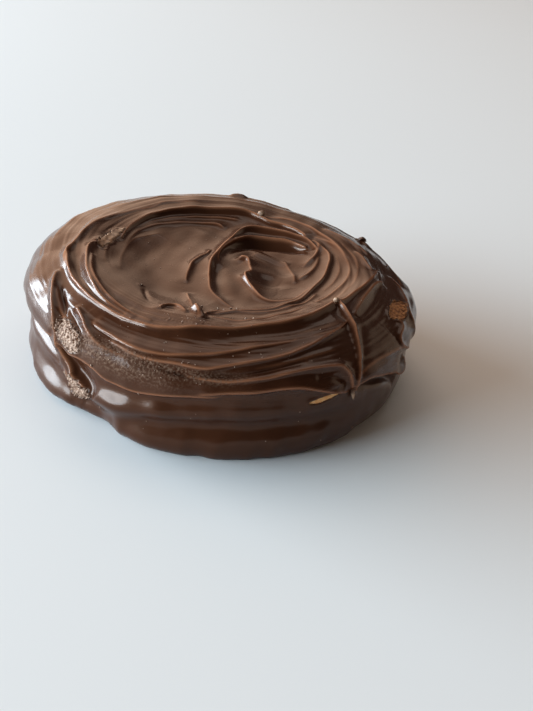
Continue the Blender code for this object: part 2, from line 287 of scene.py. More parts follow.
def on_coat(angle, reach):
    """Place, outward normal, downhill and sideways directions on the plain coat, and the
    radius of the turn there, in mm."""
    radius = np.interp(reach, SECTION_REACH, SECTION[:, 0])
    height = np.interp(reach, SECTION_REACH, SECTION[:, 1])
    out = np.interp(reach, SECTION_REACH, SECTION_WAY[:, 0])
    down = np.interp(reach, SECTION_REACH, SECTION_WAY[:, 1])
    size = np.hypot(out, down)
    out, down = out / size, down / size
    cos, sin = np.cos(angle), np.sin(angle)
    zero = np.zeros_like(cos)
    place = np.stack([radius * cos, radius * sin, height], axis=-1)
    normal = np.stack([-down * cos, -down * sin, out], axis=-1)
    downhill = np.stack([out * cos, out * sin, down], axis=-1)
    sideways = np.stack([-sin, cos, zero], axis=-1)
    return place, normal, downhill, sideways, radius


# %% [markdown]
# ## The marks of the knife
# A spreading knife leaves crests where its edge lifts: thin, sharp, with one gentle and one steep
# side, sometimes leaning over the steep one. Each mark is one path over the flat sheet. Its knots
# are an angle, a reach and the height of the crest there. left and right say how far each flank
# runs out, seen along the way the path goes; a pair gives the value at the start and at the end.
# lean pushes the crest to the left, or to the right where it is negative, and crisp says how far
# its top is rounded. A mark starts and ends within its taper. All sizes are in millimetres.

# %% The marks on the floor of the dish
MARKS = []
SWELLS = []
FLOOR_STRENGTH = 1.35


def mark(path, left, right, lean=0.0, crisp=0.14, taper=2.0):
    """Notes a sharp crest along a path."""
    MARKS.append(dict(path=path, left=left, right=right, lean=lean, crisp=crisp, taper=taper))


def swell(path, width, taper=3.0):
    """Notes a soft bump along a path."""
    SWELLS.append(dict(path=path, width=width, taper=taper))


def scaled(path, share):
    """The same path with a share of its height."""
    return tuple((angle, reach, share * height) for angle, reach, height in path)


def crested(path, body, width, left, right, taper=1.0):
    """A thin crest on a soft back; body is the back's share of the height."""
    mark(scaled(path, 1.0 - body), left, right, taper=taper, crisp=0.08)
    swell(scaled(path, body), width, taper)


def floor_mark(path, left, right, lean=0.0, taper=2.0):
    """A mark on the floor, whose noted heights are all raised by the same share."""
    mark(scaled(path, FLOOR_STRENGTH), left, right, lean, taper=taper)


# The loop round the pocket, and the lip that hangs over the pocket
mark(((26, 20.2, 0.4), (31, 20.8, 0.9), (40, 21.0, 1.3), (48, 20.2, 1.5), (58, 19.0, 1.6),
      (72, 17.6, 1.6), (80, 15.5, 1.5), (86, 11.4, 1.4), (101, 6.6, 1.2), (190, 2.8, 1.0),
      (242, 6.0, 0.9), (250, 7.8, 0.75), (260, 12.0, 0.55), (270, 15.5, 0.4), (279, 19.2, 0.2)),
     left=(1.0, 0.6), right=(0.7, 0.8))
mark(((190, 1.4, 0.2), (118, 3.6, 0.6), (98, 6.6, 0.9), (88, 9.2, 1.1), (80, 11.4, 1.25),
      (70, 13.8, 1.3), (56, 15.8, 1.35), (43, 18.0, 1.25), (30, 19.7, 0.8)),
     left=(0.8, 1.6), right=0.28, lean=-0.3)
# The light line from the pocket's right end, and soft streaks beside it
floor_mark(((42, 21.8, 0.4), (34, 22.0, 0.5), (28, 20.6, 0.5), (20, 18.2, 0.4), (8, 15.0, 0.25)),
           left=1.0, right=0.9)
floor_mark(((24, 20.2, 0.2), (11, 18.0, 0.3), (357, 15.9, 0.3), (344, 14.1, 0.15)), 0.9, 0.9)
floor_mark(((26, 12.5, 0.15), (10, 12.4, 0.25), (352, 13.4, 0.25), (336, 14.6, 0.1)), 0.9, 0.8)
# The far side of the loop, coming back round the right and running out at the front
floor_mark(((42, 22.4, 0.3), (26, 22.1, 0.5), (17, 21.4, 0.55), (8, 20.2, 0.55), (353, 19.0, 0.5),
            (337, 18.2, 0.5), (320, 18.9, 0.5), (308, 19.3, 0.45), (294, 19.8, 0.4), (282, 19.6, 0.35),
            (271, 21.7, 0.3), (266, 23.2, 0.2)), left=0.5, right=1.5, lean=0.1)
# The rim of the round mark that the knife's tip left
floor_mark(((66, 4.6, 0.3), (48, 4.2, 0.85), (28, 4.8, 1.0), (358, 4.8, 0.5), (335, 5.6, 0.65),
            (318, 6.2, 1.05), (306, 6.8, 1.15), (300, 10.2, 0.8), (299, 14.8, 0.5), (304, 17.2, 0.4),
            (316, 18.2, 0.4), (339, 17.6, 0.3)), left=1.8, right=(0.75, 0.55), lean=-0.1)
# Short marks on the open floor
floor_mark(((110, 6.4, 0.2), (126, 5.6, 0.4), (143, 4.8, 0.45), (166, 5.2, 0.45), (190, 6.4, 0.45),
            (211, 7.8, 0.4), (225, 9.8, 0.3), (236, 12.0, 0.1)), left=0.5, right=0.8)
floor_mark(((243, 14.0, 0.2), (248, 16.0, 0.35), (253, 18.4, 0.4), (257, 21.6, 0.45),
            (260, 24.2, 0.5), (263, 26.2, 0.3)), left=0.9, right=0.5, taper=1.2)
floor_mark(((248, 26.6, 0.15), (246.4, 25.4, 0.35), (247.4, 24.0, 0.45), (250.4, 23.2, 0.5),
            (254, 24.0, 0.45), (258, 25.8, 0.2)), left=0.9, right=0.3, lean=-0.1, taper=1.0)
floor_mark(((263, 25.0, 0.2), (266, 22.3, 0.35), (275, 20.2, 0.35), (288, 20.8, 0.35),
            (300, 20.8, 0.35), (318, 20.4, 0.3), (335, 19.6, 0.2)), left=0.5, right=0.9)
floor_mark(((264, 23.9, 0.2), (273, 25.2, 0.4), (280, 25.6, 0.4), (289, 24.2, 0.35),
            (302, 23.0, 0.3), (318, 22.4, 0.2)), left=0.9, right=0.4)
# Soft sweeps round the right end of the dish
floor_mark(((44, 23.4, 0.2), (28, 24.8, 0.3), (14, 24.5, 0.28), (2, 24.2, 0.3), (348, 23.2, 0.32),
            (332, 22.2, 0.3), (318, 21.8, 0.15)), left=1.4, right=1.0)
floor_mark(((30, 26.2, 0.15), (12, 26.2, 0.22), (355, 25.4, 0.18), (338, 24.4, 0.2),
            (322, 23.8, 0.1)), left=0.9, right=1.2)
floor_mark(((22, 23.4, 0.05), (6, 22.4, 0.15), (350, 21.2, 0.15), (334, 20.2, 0.05)), 0.9, 0.9)
print(len(MARKS), "marks on the floor")

# %% [markdown]
# The rim is one long ridge that the knife raised as the cookie turned under it. On the left two
# more crests run inside it and meet it at the front; at the back it falls steeply to the dish.

# %% The marks round the rim
# The rim from the back round a corner to the left, steep towards the dish
mark(((106, 25.4, 0.15), (122, 26.0, 0.45), (131, 25.3, 0.5), (144, 25.8, 0.5),
      (158, 27.1, 0.55), (171, 27.8, 0.6), (182, 28.8, 0.75), (190.5, 30.2, 0.9),
      (196, 30.5, 0.6), (202, 30.7, 0.2)), left=0.45, right=(2.0, 1.0), taper=1.0)
crested(((183, 29.2, 0.3), (187, 29.9, 0.9), (193, 30.0, 1.05), (199, 30.2, 1.15),
         (205, 30.5, 1.2), (212, 30.8, 1.2), (222, 31.1, 1.15), (232, 31.3, 1.0),
         (242, 31.3, 0.7), (254, 31.0, 0.2)), 0.22, 1.3, left=0.45, right=0.3)
# The rim along the front, steep on the outside
mark(((238, 31.4, 0.4), (249, 31.1, 0.75), (257, 30.3, 0.9), (264, 29.2, 0.95),
      (274, 28.4, 1.0), (284, 27.5, 1.0), (295, 27.2, 1.05), (305, 26.6, 1.1),
      (314, 26.0, 1.25), (323, 25.7, 1.5)), left=(1.6, 2.4), right=(0.5, 0.7), lean=-0.1,
     taper=0.8)
# The rim on the right
mark(((321, 25.8, 1.2), (327, 26.2, 1.05), (336, 26.4, 0.95), (348, 27.3, 0.85),
      (359, 28.8, 0.7), (367, 30.2, 0.3)), left=2.2, right=0.8, taper=1.0)
# Two crests inside the rim on the left, which run together at the front
crested(((180, 24.4, 0.3), (185, 25.9, 0.8), (193, 26.5, 1.0), (206, 27.5, 1.0),
         (215, 28.4, 1.0), (224, 29.5, 0.95), (233, 30.3, 0.8), (243, 30.9, 0.2)),
        0.45, 0.9, left=0.35, right=0.36)
crested(((192, 25.5, 0.3), (204, 26.5, 0.7), (213, 27.4, 0.8), (223, 28.3, 0.8),
         (232, 29.2, 0.75), (240, 29.8, 0.65), (249, 30.3, 0.2)), 0.35, 0.7,
        left=0.3, right=0.34)
# The back crest with its steep side towards the dish
mark(((172, 21.2, 0.2), (162, 21.7, 0.6), (152, 22.3, 0.95), (140, 22.7, 1.15),
      (130, 22.9, 1.2), (117, 23.1, 1.3), (102, 23.1, 1.35), (84, 23.6, 1.3),
      (75, 22.9, 1.15), (68, 22.3, 1.0), (59, 22.7, 0.95), (48, 22.5, 0.8), (40, 21.6, 0.5)),
     left=2.8, right=0.5, lean=-0.15)
mark(((78, 22.6, 0.3), (73, 22.9, 0.5), (62, 24.7, 0.7), (50, 25.2, 0.7), (39, 24.9, 0.6),
      (30, 24.9, 0.5), (20, 24.7, 0.4), (12, 24.3, 0.2)), left=1.6, right=0.5)
mark(((46, 26.6, 0.2), (40, 27.0, 0.5), (32, 27.7, 0.55), (24, 28.8, 0.5), (16, 29.8, 0.2)),
     left=1.5, right=0.7)
# Edges that step down from it to the floor
mark(((200, 23.5, 0.05), (190, 23.1, 0.12), (181, 22.7, 0.15), (164, 22.3, 0.2),
      (154, 21.4, 0.1)), left=0.9, right=0.8)
mark(((174, 19.8, 0.05), (165, 19.9, 0.15), (151, 20.4, 0.3), (140, 20.0, 0.4), (126, 19.2, 0.4),
      (112, 18.7, 0.45), (99, 18.3, 0.5), (92, 16.4, 0.4)), left=1.4, right=0.35)
mark(((206, 21.2, 0.05), (194, 20.2, 0.1), (182, 19.6, 0.12), (165, 19.4, 0.15),
      (152, 18.3, 0.15), (141, 17.1, 0.1)), left=0.9, right=0.7)
mark(((150, 21.4, 0.1), (132, 21.2, 0.3), (112, 21.0, 0.4), (96, 20.9, 0.4), (82, 20.8, 0.2)),
     left=0.8, right=0.4)
# The short ridge on the right of the rim
mark(((358, 31.0, 0.3), (355.5, 29.8, 0.7), (350, 28.8, 0.75), (336, 28.3, 0.65),
      (328, 28.9, 0.45), (324, 29.6, 0.2)), left=0.8, right=1.1, taper=0.8)
# The bright fold that ends the rim on the right
mark(((22, 27.0, 0.2), (15, 27.6, 0.5), (8, 28.0, 0.55), (2, 29.2, 0.3)), left=0.8, right=0.6)
print(len(MARKS), "marks down to the rim")

# %% [markdown]
# The coat ran over the shoulder in terraces, each ending in a thin lip over a dark channel. At
# the front right the knife left a fin, at the left the sheet folded, and at the right it hangs
# like a curtain with a ragged hem.

# %% The marks on the shoulder
# The fin that runs down from the rim at the front right, over the shoulder
mark(((326, 25.0, 1.2), (323, 27.2, 1.35), (321, 29.4, 1.2), (319.5, 31.5, 1.1),
      (317.5, 33.4, 0.9), (315, 36.0, 0.8), (312.4, 38.4, 0.85), (311.2, 40.6, 0.95),
      (311.4, 42.6, 0.8)), left=(0.75, 0.45), right=(0.42, 0.4), crisp=0.2, taper=0.6)
# Terraces on the front shoulder
mark(((230, 34.6, 0.2), (237, 34.9, 0.5), (247, 35.6, 0.65), (254, 35.6, 0.7),
      (261, 34.9, 0.7), (272, 33.5, 0.7), (285, 31.7, 0.6), (297, 31.0, 0.2)),
     left=2.2, right=0.35, lean=-0.15)
mark(((239, 35.9, 0.3), (248, 36.7, 0.6), (254, 36.8, 0.7), (260, 36.5, 0.8), (267, 36.6, 0.9),
      (272, 36.0, 0.95), (282, 34.7, 0.95), (291, 33.7, 0.95), (301, 32.2, 0.9),
      (312, 30.7, 0.7), (321, 29.6, 0.4)), left=(1.0, 2.2), right=0.4, lean=-0.2)
mark(((262, 38.2, 0.3), (271, 38.2, 0.7), (276, 38.1, 0.8), (284, 37.5, 0.9), (290, 36.9, 0.95),
      (298, 36.5, 1.0), (306, 37.0, 1.1), (308.5, 38.3, 1.1), (309.5, 40.0, 1.0),
      (310.5, 42.2, 0.6)), left=(0.8, 1.0), right=0.45, lean=-0.2, taper=1.5)
mark(((280, 36.2, 0.1), (290, 35.2, 0.25), (300, 34.4, 0.3), (309, 34.2, 0.15)), 0.6, 0.5)
mark(((266, 41.0, 0.4), (278, 39.8, 0.7), (284, 39.5, 0.75), (293, 39.3, 0.8),
      (299, 40.2, 0.8), (304, 41.2, 0.8), (310, 42.3, 0.5)), left=1.5, right=0.4, lean=-0.1)
# The edge where the upper coat ends over the lower one, at the front and at the left
mark(((222, 40.4, 0.4), (227, 41.2, 0.8), (233, 40.9, 0.9), (238, 41.3, 0.9),
      (242, 42.3, 0.9), (247, 42.6, 0.9), (252, 42.7, 0.8), (259, 41.9, 0.8),
      (268, 41.2, 0.6), (274, 40.8, 0.3)), left=3.2, right=0.4, lean=-0.1)
# Folds on the left shoulder: the sharp white one, its neighbours and the drip
crested(((199, 32.0, 0.3), (204, 33.2, 1.0), (208, 34.0, 1.3), (214, 35.6, 1.4),
         (218, 37.0, 1.3), (222, 38.7, 1.1), (224, 40.1, 0.7)), 0.45, 1.0,
        left=0.35, right=0.4, taper=1.8)
crested(((209, 33.4, 0.2), (213, 34.4, 0.7), (217, 35.3, 0.9), (221, 36.4, 0.9),
         (226, 37.4, 0.3)), 0.3, 0.6, left=0.25, right=0.32, taper=1.2)
crested(((222, 33.8, 0.2), (225, 34.3, 0.8), (229, 35.1, 1.1), (233, 36.4, 1.1),
         (239, 37.5, 0.8), (248, 37.9, 0.2)), 0.4, 0.9, left=0.35, right=0.5, taper=1.5)
# The free edge of the sheet that hangs down the left side
mark(((222.5, 38.6, 0.5), (224, 41.1, 1.0), (226, 42.8, 1.1), (229, 44.3, 1.0),
      (231, 45.8, 0.9), (235, 46.8, 0.8), (237, 48.0, 0.5)), left=0.35, right=2.6, lean=0.15)
mark(((226, 44.6, 0.3), (229, 46.0, 0.6), (232, 47.4, 0.6), (234, 49.0, 0.4)), 0.5, 1.2)
# The bulge of the upper coat over the left side, and its curled lip
mark(((150, 40.0, 0.2), (170, 41.4, 0.7), (185, 42.0, 0.8), (198, 41.9, 0.7), (208, 41.4, 0.6),
      (217, 40.9, 0.6), (222, 40.4, 0.4)), left=3.6, right=0.5)
# The curtain on the right with its ragged lower edge
mark(((310, 41.2, 0.6), (313, 40.5, 1.2), (317, 40.3, 1.3), (322, 41.1, 1.35), (329, 42.5, 1.35),
      (334, 44.6, 1.3), (338, 44.4, 1.2), (337.4, 41.8, 0.5)), left=2.8, right=0.4, lean=-0.2,
     taper=0.8)
mark(((311, 39.6, 0.3), (315, 38.7, 0.5), (321, 38.4, 0.55), (329, 38.8, 0.55),
      (337, 39.8, 0.4)), left=0.6, right=1.2, taper=1.0)
mark(((340, 34.6, 0.3), (338.5, 36.6, 0.6), (334, 37.9, 0.7), (336, 39.8, 0.7),
      (346, 43.2, 0.5)), left=1.0, right=0.5, taper=1.0)
mark(((8, 32.6, 0.3), (2, 34.2, 0.6), (355, 35.6, 0.6), (348, 36.9, 0.6), (345, 39.6, 0.5),
      (347, 42.4, 0.3)), left=0.7, right=0.9)
print(len(MARKS), "marks down to the shoulder")

# %% [markdown]
# The photo doesn't show the back. It goes on in the same hand: long soft ridges, and one lower
# edge that rises and falls round the side.

# %% The marks at the back
mark(((176, 33.6, 0.2), (160, 32.8, 0.4), (140, 32.4, 0.45), (120, 32.6, 0.4), (90, 31.6, 0.5),
      (64, 31.0, 0.3)), left=2.0, right=0.7)
mark(((132, 36.6, 0.2), (110, 35.8, 0.45), (88, 35.6, 0.5), (60, 34.2, 0.5), (36, 34.2, 0.55),
      (14, 34.8, 0.4), (2, 35.6, 0.2)), left=1.6, right=0.7)
mark(((150, 29.6, 0.1), (128, 29.0, 0.3), (104, 28.2, 0.35), (80, 28.0, 0.35),
      (60, 28.2, 0.2)), left=1.4, right=0.5)
mark(((170, 43.0, 0.4), (158, 44.4, 0.8), (146, 43.8, 0.8), (133, 42.2, 0.7), (120, 43.6, 0.8),
      (108, 45.6, 0.8), (94, 44.8, 0.8), (80, 43.0, 0.7), (66, 44.6, 0.8), (54, 46.6, 0.8),
      (40, 45.2, 0.8), (28, 43.6, 0.7), (14, 45.4, 0.8), (2, 47.0, 0.6), (352, 46.0, 0.3)),
     left=0.4, right=4.0, lean=0.1)
mark(((158, 38.0, 0.2), (132, 38.8, 0.4), (104, 38.2, 0.45), (76, 39.0, 0.4), (48, 38.0, 0.4),
      (22, 38.8, 0.2)), left=1.2, right=0.7)
print(len(MARKS), "marks in all")

# %% [markdown]
# ## Hollows and swells
# Between the crests the knife pressed the chocolate down or left it full. A swell is a soft bump
# along a path, and a negative one is a hollow.

# %% Hollows and swells
# The pocket under the loop's lip, and the bowl of the round mark
swell(((110, 2.2, -0.2), (86, 6.4, -0.4), (76, 9.4, -1.0), (64, 12.2, -1.3), (50, 14.4, -1.3),
       (39, 16.6, -1.1), (31, 18.4, -0.6)), 1.25)
swell(((200, 0.6, -0.2), (246, 3.4, -0.5), (260, 7.0, -0.5), (268, 11.0, -0.35),
       (276, 15.0, -0.15)), 1.3)
swell(((66, 9.0, -0.2), (40, 9.0, -0.3), (12, 11.6, -0.35), (350, 13.0, -0.3)), 2.6)
swell(((345, 7.5, -0.2), (328, 10.0, -0.45), (320, 13.0, -0.35)), 3.4)
swell(((60, 9.6, 0.2), (46, 9.4, 0.45), (30, 10.6, 0.35), (14, 13.0, 0.15)), 1.0)
# The open floor sinks towards the left
swell(((140, 13.0, -0.3), (176, 14.4, -0.6), (208, 15.4, -0.7), (240, 16.6, -0.6),
       (264, 18.0, -0.3)), 4.5, 6.0)
# Hollows beside the rim: inside it on the left, outside it at the front
swell(((190, 28.4, -0.1), (206, 29.2, -0.3), (222, 30.2, -0.25), (236, 30.9, -0.1)), 0.8)
swell(((230, 33.0, -0.1), (248, 33.2, -0.35), (266, 31.6, -0.4), (284, 29.6, -0.4),
       (302, 28.8, -0.35), (316, 28.2, -0.2)), 1.6)
swell(((262, 35.4, -0.1), (276, 34.6, -0.2), (290, 33.0, -0.25), (304, 31.2, -0.2)), 0.8)
# The black channel under the second terrace
swell(((256, 37.9, -0.2), (263, 38.0, -0.6), (268, 37.7, -0.6), (278, 37.1, -0.6),
       (288, 36.0, -0.4), (297, 35.2, -0.2)), 0.4, 1.0)
# The deep groove right of the white fold, and the black wedge below the upper coat's edge
swell(((209, 33.3, -0.1), (213, 34.0, -0.6), (217, 35.0, -1.0), (221, 36.3, -1.0),
       (225, 37.4, -0.4)), 0.6, 2.5)
swell(((214, 33.6, -0.1), (220, 34.8, -0.4), (227, 36.0, -0.5), (232, 37.6, -0.3)), 0.7, 2.0)
swell(((224, 41.4, -0.4), (228, 43.0, -1.1), (233, 44.4, -1.4), (237, 46.0, -1.2),
       (239, 47.4, -0.6)), 1.5, 1.0)
# The hollow left of the fin at its foot, and the hollow under the ragged edge
swell(((298, 38.2, -0.2), (303, 38.4, -0.35), (306.5, 39.4, -0.4), (308.4, 40.6, -0.3)), 0.7, 1.5)
swell(((312, 42.4, -0.5), (317, 42.2, -1.3), (322, 43.0, -1.5), (329, 44.4, -1.4),
       (335, 46.9, -0.6)), 1.0, 1.5)
# The side: pressed in on the left under the bulge, two soft bulges along the front
swell(((174, 44.2, -0.8), (186, 43.8, -2.0), (204, 43.6, -2.5), (216, 44.0, -2.2),
       (225, 45.6, -1.1)), 1.7, 4.0)
swell(((174, 48.0, -0.3), (188, 48.0, -1.1), (206, 47.8, -1.5), (216, 48.0, -1.6),
       (226, 48.6, -1.5), (234, 50.4, -1.9), (240, 51.2, -1.6), (247, 51.6, -0.3)), 2.5, 4.0)
swell(((206, 52.0, 0.2), (214, 52.2, 0.8), (220, 52.2, 1.1), (226, 52.0, 0.5),
       (230, 51.6, 0.1)), 1.8, 2.0)
swell(((234, 47.6, 0.2), (239, 47.2, 0.95), (246, 46.9, 1.2), (253, 46.2, 1.0),
       (264, 45.2, 0.8), (276, 44.2, 0.7), (290, 43.8, 0.6), (304, 43.8, 0.45),
       (318, 44.6, 0.1)), 1.9, 2.5)
swell(((246, 48.8, -0.05), (256, 47.7, -0.4), (264, 47.2, -0.45), (274, 46.8, -0.45),
       (288, 46.6, -0.45), (304, 46.4, -0.35), (322, 46.8, -0.05)), 1.5, 9.0)
swell(((232, 51.4, 0.05), (246, 51.2, 0.4), (256, 51.0, 0.7), (268, 50.6, 0.8), (284, 50.2, 0.8),
       (300, 49.8, 0.7), (318, 49.8, 0.4), (340, 50.6, 0.05)), 1.9, 8.0)
# The back shoulder stands higher than the front one, the right one further out
swell(((4, 31.0, 0.4), (20, 31.5, 0.8), (40, 31.2, 0.7), (60, 31.0, 0.8), (90, 30.5, 1.1),
       (125, 31.0, 1.1), (150, 32.0, 1.1), (168, 33.0, 1.1), (184, 33.6, 0.5)), 5.0, 8.0)
swell(((332, 37.0, 0.4), (345, 38.0, 1.0), (360, 38.4, 1.2), (374, 38.0, 0.7)), 3.0, 6.0)
swell(((84, 31.2, 0.3), (88, 31.3, 0.65), (92, 31.4, 0.3)), 0.8, 1.5)
swell(((28, 33.4, 0.3), (33, 33.8, 0.5), (38, 33.6, 0.3)), 0.7, 1.0)
# The foot stands further out at the front
swell(((238, 52.4, 0.1), (248, 52.8, 0.9), (266, 53.2, 1.4), (284, 53.0, 1.4), (300, 52.8, 1.0),
       (318, 52.6, 0.2)), 1.9, 6.0)
# The torn bump at the left of the dish
swell(((176, 24.8, 0.3), (181, 25.2, 0.5)), 0.7, 0.5)
# The smear on the front of the floor, and the small bump left of it
swell(((257.2, 23.4, 0.2), (259.8, 24.1, 1.0), (262.8, 25.1, 1.0), (264.8, 26.7, 0.3)), 0.68, 0.6)
swell(((221.6, 19.7, 0.35), (223.6, 19.9, 0.35)), 0.45, 0.6)
swell(((226, 19.9, -0.12), (231, 21.4, -0.28), (236, 23.0, -0.22), (240, 24.4, -0.05)), 0.45, 2.0)
print(len(SWELLS), "hollows and swells")

# %% [markdown]
# ## The tears
# Where the sheet of chocolate pulled off, the crumb of the biscuit shows, and at one place a thin
# line of cream. Each tear is an outline on the flat sheet. The coat sinks inside it, and a piece
# of crumb is laid into the hollow later. Along the left front and the front of the rim, crumbs
# under the coat make the chocolate itself coarse.

# %% The tears
TEARS = dict(
    left_upper=((221.5, 37.6), (223.5, 36.8), (227, 37.3), (230, 37.5), (232.4, 38.8),
                (232.2, 40.1), (229, 40.4), (226, 39.9), (223.6, 39.0)),
    left_lower=((226.6, 46.4), (230, 45.9), (233, 46.3), (236.3, 47.2), (235.4, 49.0),
                (231, 50.5), (228, 49.1), (226.6, 47.5)),
    right=((338.4, 34.2), (341, 33.5), (346, 33.2), (350.6, 34.0), (351.2, 35.6),
           (346, 36.2), (340.4, 35.9)),
    cream=((296.6, 42.55), (299.5, 42.2), (302.4, 41.85), (305.0, 41.6), (304.6, 42.0),
           (302.0, 42.45), (299.3, 42.75)),
    blob=((180, 24.8), (172, 24.2), (163, 23.3), (160, 22.3), (168, 22.0), (177, 22.6),
          (184, 23.8)),
)
TEAR_DEPTH = dict(left_upper=0.5, left_lower=0.5, right=0.45, cream=0.35, blob=-0.1)
RAGGED = dict(left_upper=1.0, left_lower=1.0, right=0.8, cream=0.1, blob=1.0)
TEAR_EDGE = 0.25
COARSE_ZONES = (
    (((220, 38.4, 0.14), (227, 38.7, 0.15), (236, 37.4, 0.15), (245, 37.2, 0.16),
      (254, 37.7, 0.17), (262, 37.9, 0.17), (272, 37.9, 0.12), (280, 37.6, 0.04)), 0.95),
    (((233, 38.8, 0.10), (243, 39.4, 0.10), (252, 39.6, 0.08), (262, 39.8, 0.03)), 1.3),
    (((252, 28.9, 0.05), (264, 28.4, 0.08), (280, 27.4, 0.03)), 0.6),
)
print(len(TEARS), "tears")

# %% [markdown]
# ## Unevenness
# Chocolate that was spread by hand is never quite even. A noise texture could roughen it in the
# material alone, but a shape that shows has to be in the mesh. Sums of waves with seeded
# directions are smooth and come out the same each time. They make lumps of four sizes, and the
# fine lines that a knife drags along its way, long round the coat and narrow across it.

# %% Unevenness
# The height of the lumps, their size, the number of waves and the seed
LUMP_LAYERS = ((0.10, 14.0, 9, 3), (0.06, 7.0, 10, 7), (0.035, 4.5, 11, 4))
SIDE_LUMPS = (0.025, 5.5, 10, 12)
DRAG_HEIGHT = 0.030
DRAG_WAVES = 14
DRAG_SEED = 5
DRAG_SPACING = (0.9, 3.0)
DRAG_ON_FLOOR = 0.05
DRAG_ON_SIDE = 0.15
FLOOR_ENDS = (21.0, 26.0)
SHOULDER_ENDS = (37.5, 41.0)


def eased(share):
    """A soft step from 0 to 1."""
    share = np.clip(share, 0.0, 1.0)
    return share * share * (3.0 - 2.0 * share)


def eased_between(value, limits):
    """A soft step between two limits of a value."""
    return eased((value - limits[0]) / (limits[1] - limits[0]))


def lumps(points, size, waves, seed):
    """Smooth seeded unevenness between about -1 and 1, with lumps of the given size."""
    draw = np.random.default_rng(seed)
    total = np.zeros(len(points))
    for _ in range(waves):
        way, phase = draw.uniform(0.0, math.tau, 2)
        wave = math.tau / (size * draw.uniform(0.7, 1.6))
        total += np.sin(wave * (points[:, 0] * math.cos(way) + points[:, 1] * math.sin(way))
                        + phase)
    return total / math.sqrt(waves)


def drag_lines(angle, reach, waves, seed):
    """Seeded lines that run round the coat and wander slowly in and out."""
    draw = np.random.default_rng(seed)
    total = np.zeros(len(angle))
    for _ in range(waves):
        turns = draw.integers(-5, 6)
        wave = math.tau / draw.uniform(*DRAG_SPACING)
        total += np.sin(wave * reach + turns * angle + draw.uniform(0.0, math.tau))
    return total / math.sqrt(waves)


def unevenness(points, angle, reach):
    """Height in mm. Few drag lines run over the floor of the dish and down the side."""
    past_floor = eased_between(reach, FLOOR_ENDS)
    down_side = eased_between(reach, SHOULDER_ENDS)
    total = DRAG_HEIGHT * drag_lines(angle, reach, DRAG_WAVES, DRAG_SEED)
    total *= DRAG_ON_FLOOR + (1.0 - DRAG_ON_FLOOR) * past_floor
    total *= 1.0 - (1.0 - DRAG_ON_SIDE) * down_side
    for height, size, waves, seed in LUMP_LAYERS:
        total += height * lumps(points, size, waves, seed)
    height, size, waves, seed = SIDE_LUMPS
    return total + height * lumps(points, size, waves, seed) * down_side


middle = np.zeros((1, 2))
print("unevenness in the middle:", unevenness(middle, middle[:, 0], middle[:, 0]).round(3), "mm")

# %% [markdown]
# ## Reading the marks at every point
# The marks could be cut into a coarse mesh as edges, but then its faces would have to follow them.
# Here every point of a fine even sheet is asked how far it lies from each path: the nearest place
# on the path gives the distance, the side and the height of the crest there. The points are
# compared with a few steps of the path at a time, and only where they are near.

# %% The nearest place on a path
PATH_STEPS = 7
PATH_CHUNK = 7


def unrolled_path(knots):
    """The knots' angles and reaches as a smooth line on the flat sheet, with its heights."""
    knots = np.array(knots, float)
    angle = np.radians(knots[:, 0])
    flat = [knots[:, 1] * np.cos(angle), knots[:, 1] * np.sin(angle), knots[:, 2]]
    return smooth_path(np.stack(flat, axis=-1), PATH_STEPS)


def beside_path(points, line, margin):
    """For the points within the margin of a path: which they are, the distance to its nearest
    place, a table of the side, the height, the way travelled and the direction to the left at
    that place, and the length of the whole path."""
    travelled = lengths_along(line[:, :2])
    best = np.full(len(points), np.inf)
    value = np.zeros((len(points), 5))
    for first in range(0, len(line) - 1, PATH_CHUNK):
        chunk = line[first:first + PATH_CHUNK + 1]
        low, high = chunk[:, :2].min(axis=0) - margin, chunk[:, :2].max(axis=0) + margin
        near = np.flatnonzero(((points > low) & (points < high)).all(axis=1))
        if len(near) == 0:
            continue
        run = np.diff(chunk[:, :2], axis=0)
        square = (run**2).sum(axis=1)
        offset = points[near][:, None, :] - chunk[None, :-1, :2]
        share = np.clip((offset * run).sum(-1) / square, 0.0, 1.0)
        apart = offset - share[..., None] * run
        distance = (apart**2).sum(-1)
        nearest = distance.argmin(axis=1)
        rows = np.arange(len(near))
        distance = np.sqrt(distance[rows, nearest])
        better = distance < best[near]
        rows, nearest, target = rows[better], nearest[better], near[better]
        best[target] = distance[better]
        away, way, part = apart[rows, nearest], run[nearest], share[rows, nearest]
        side = np.sign(way[:, 0] * away[:, 1] - way[:, 1] * away[:, 0])
        height = chunk[nearest, 2] + part * (chunk[nearest + 1, 2] - chunk[nearest, 2])
        along = travelled[first + nearest] + part * np.sqrt(square[nearest])
        left = np.stack([-way[:, 1], way[:, 0]], axis=-1) / np.sqrt(square[nearest])[:, None]
        value[target] = np.column_stack([side, height, along, left])
    found = np.flatnonzero(best < margin)
    return found, best[found], value[found], travelled[-1]

longest = max(lengths_along(unrolled_path(one["path"])[:, :2])[-1] for one in MARKS)
print("longest mark:", round(longest), "mm")

# %% [markdown]
# A tear is a closed path. A point lies inside it where a line to its right meets the outline an
# odd number of times. Two sizes of lumps make the border ragged.

# %% How far inside a tear
OUTLINE_MARGIN = 4.0
NO_RISE = 1e-12
# The height of the lumps, their size, the number of waves and the seed
BORDER_LUMPS = ((0.20, 1.8, 10, 6), (0.12, 0.7, 10, 10))


def enclosed(points, line):
    """Whether each point lies inside the closed line, by the edges to the right of it."""
    x, y = points[:, :1], points[:, 1:2]
    start, end = line[:-1, :2], line[1:, :2]
    rise = end[:, 1] - start[:, 1]
    rise = np.where(rise == 0.0, NO_RISE, rise)
    meets = start[:, 0] + (y - start[:, 1]) * (end[:, 0] - start[:, 0]) / rise
    crossed = ((start[:, 1] > y) != (end[:, 1] > y)) & (x < meets)
    return crossed.sum(axis=1) % 2 == 1


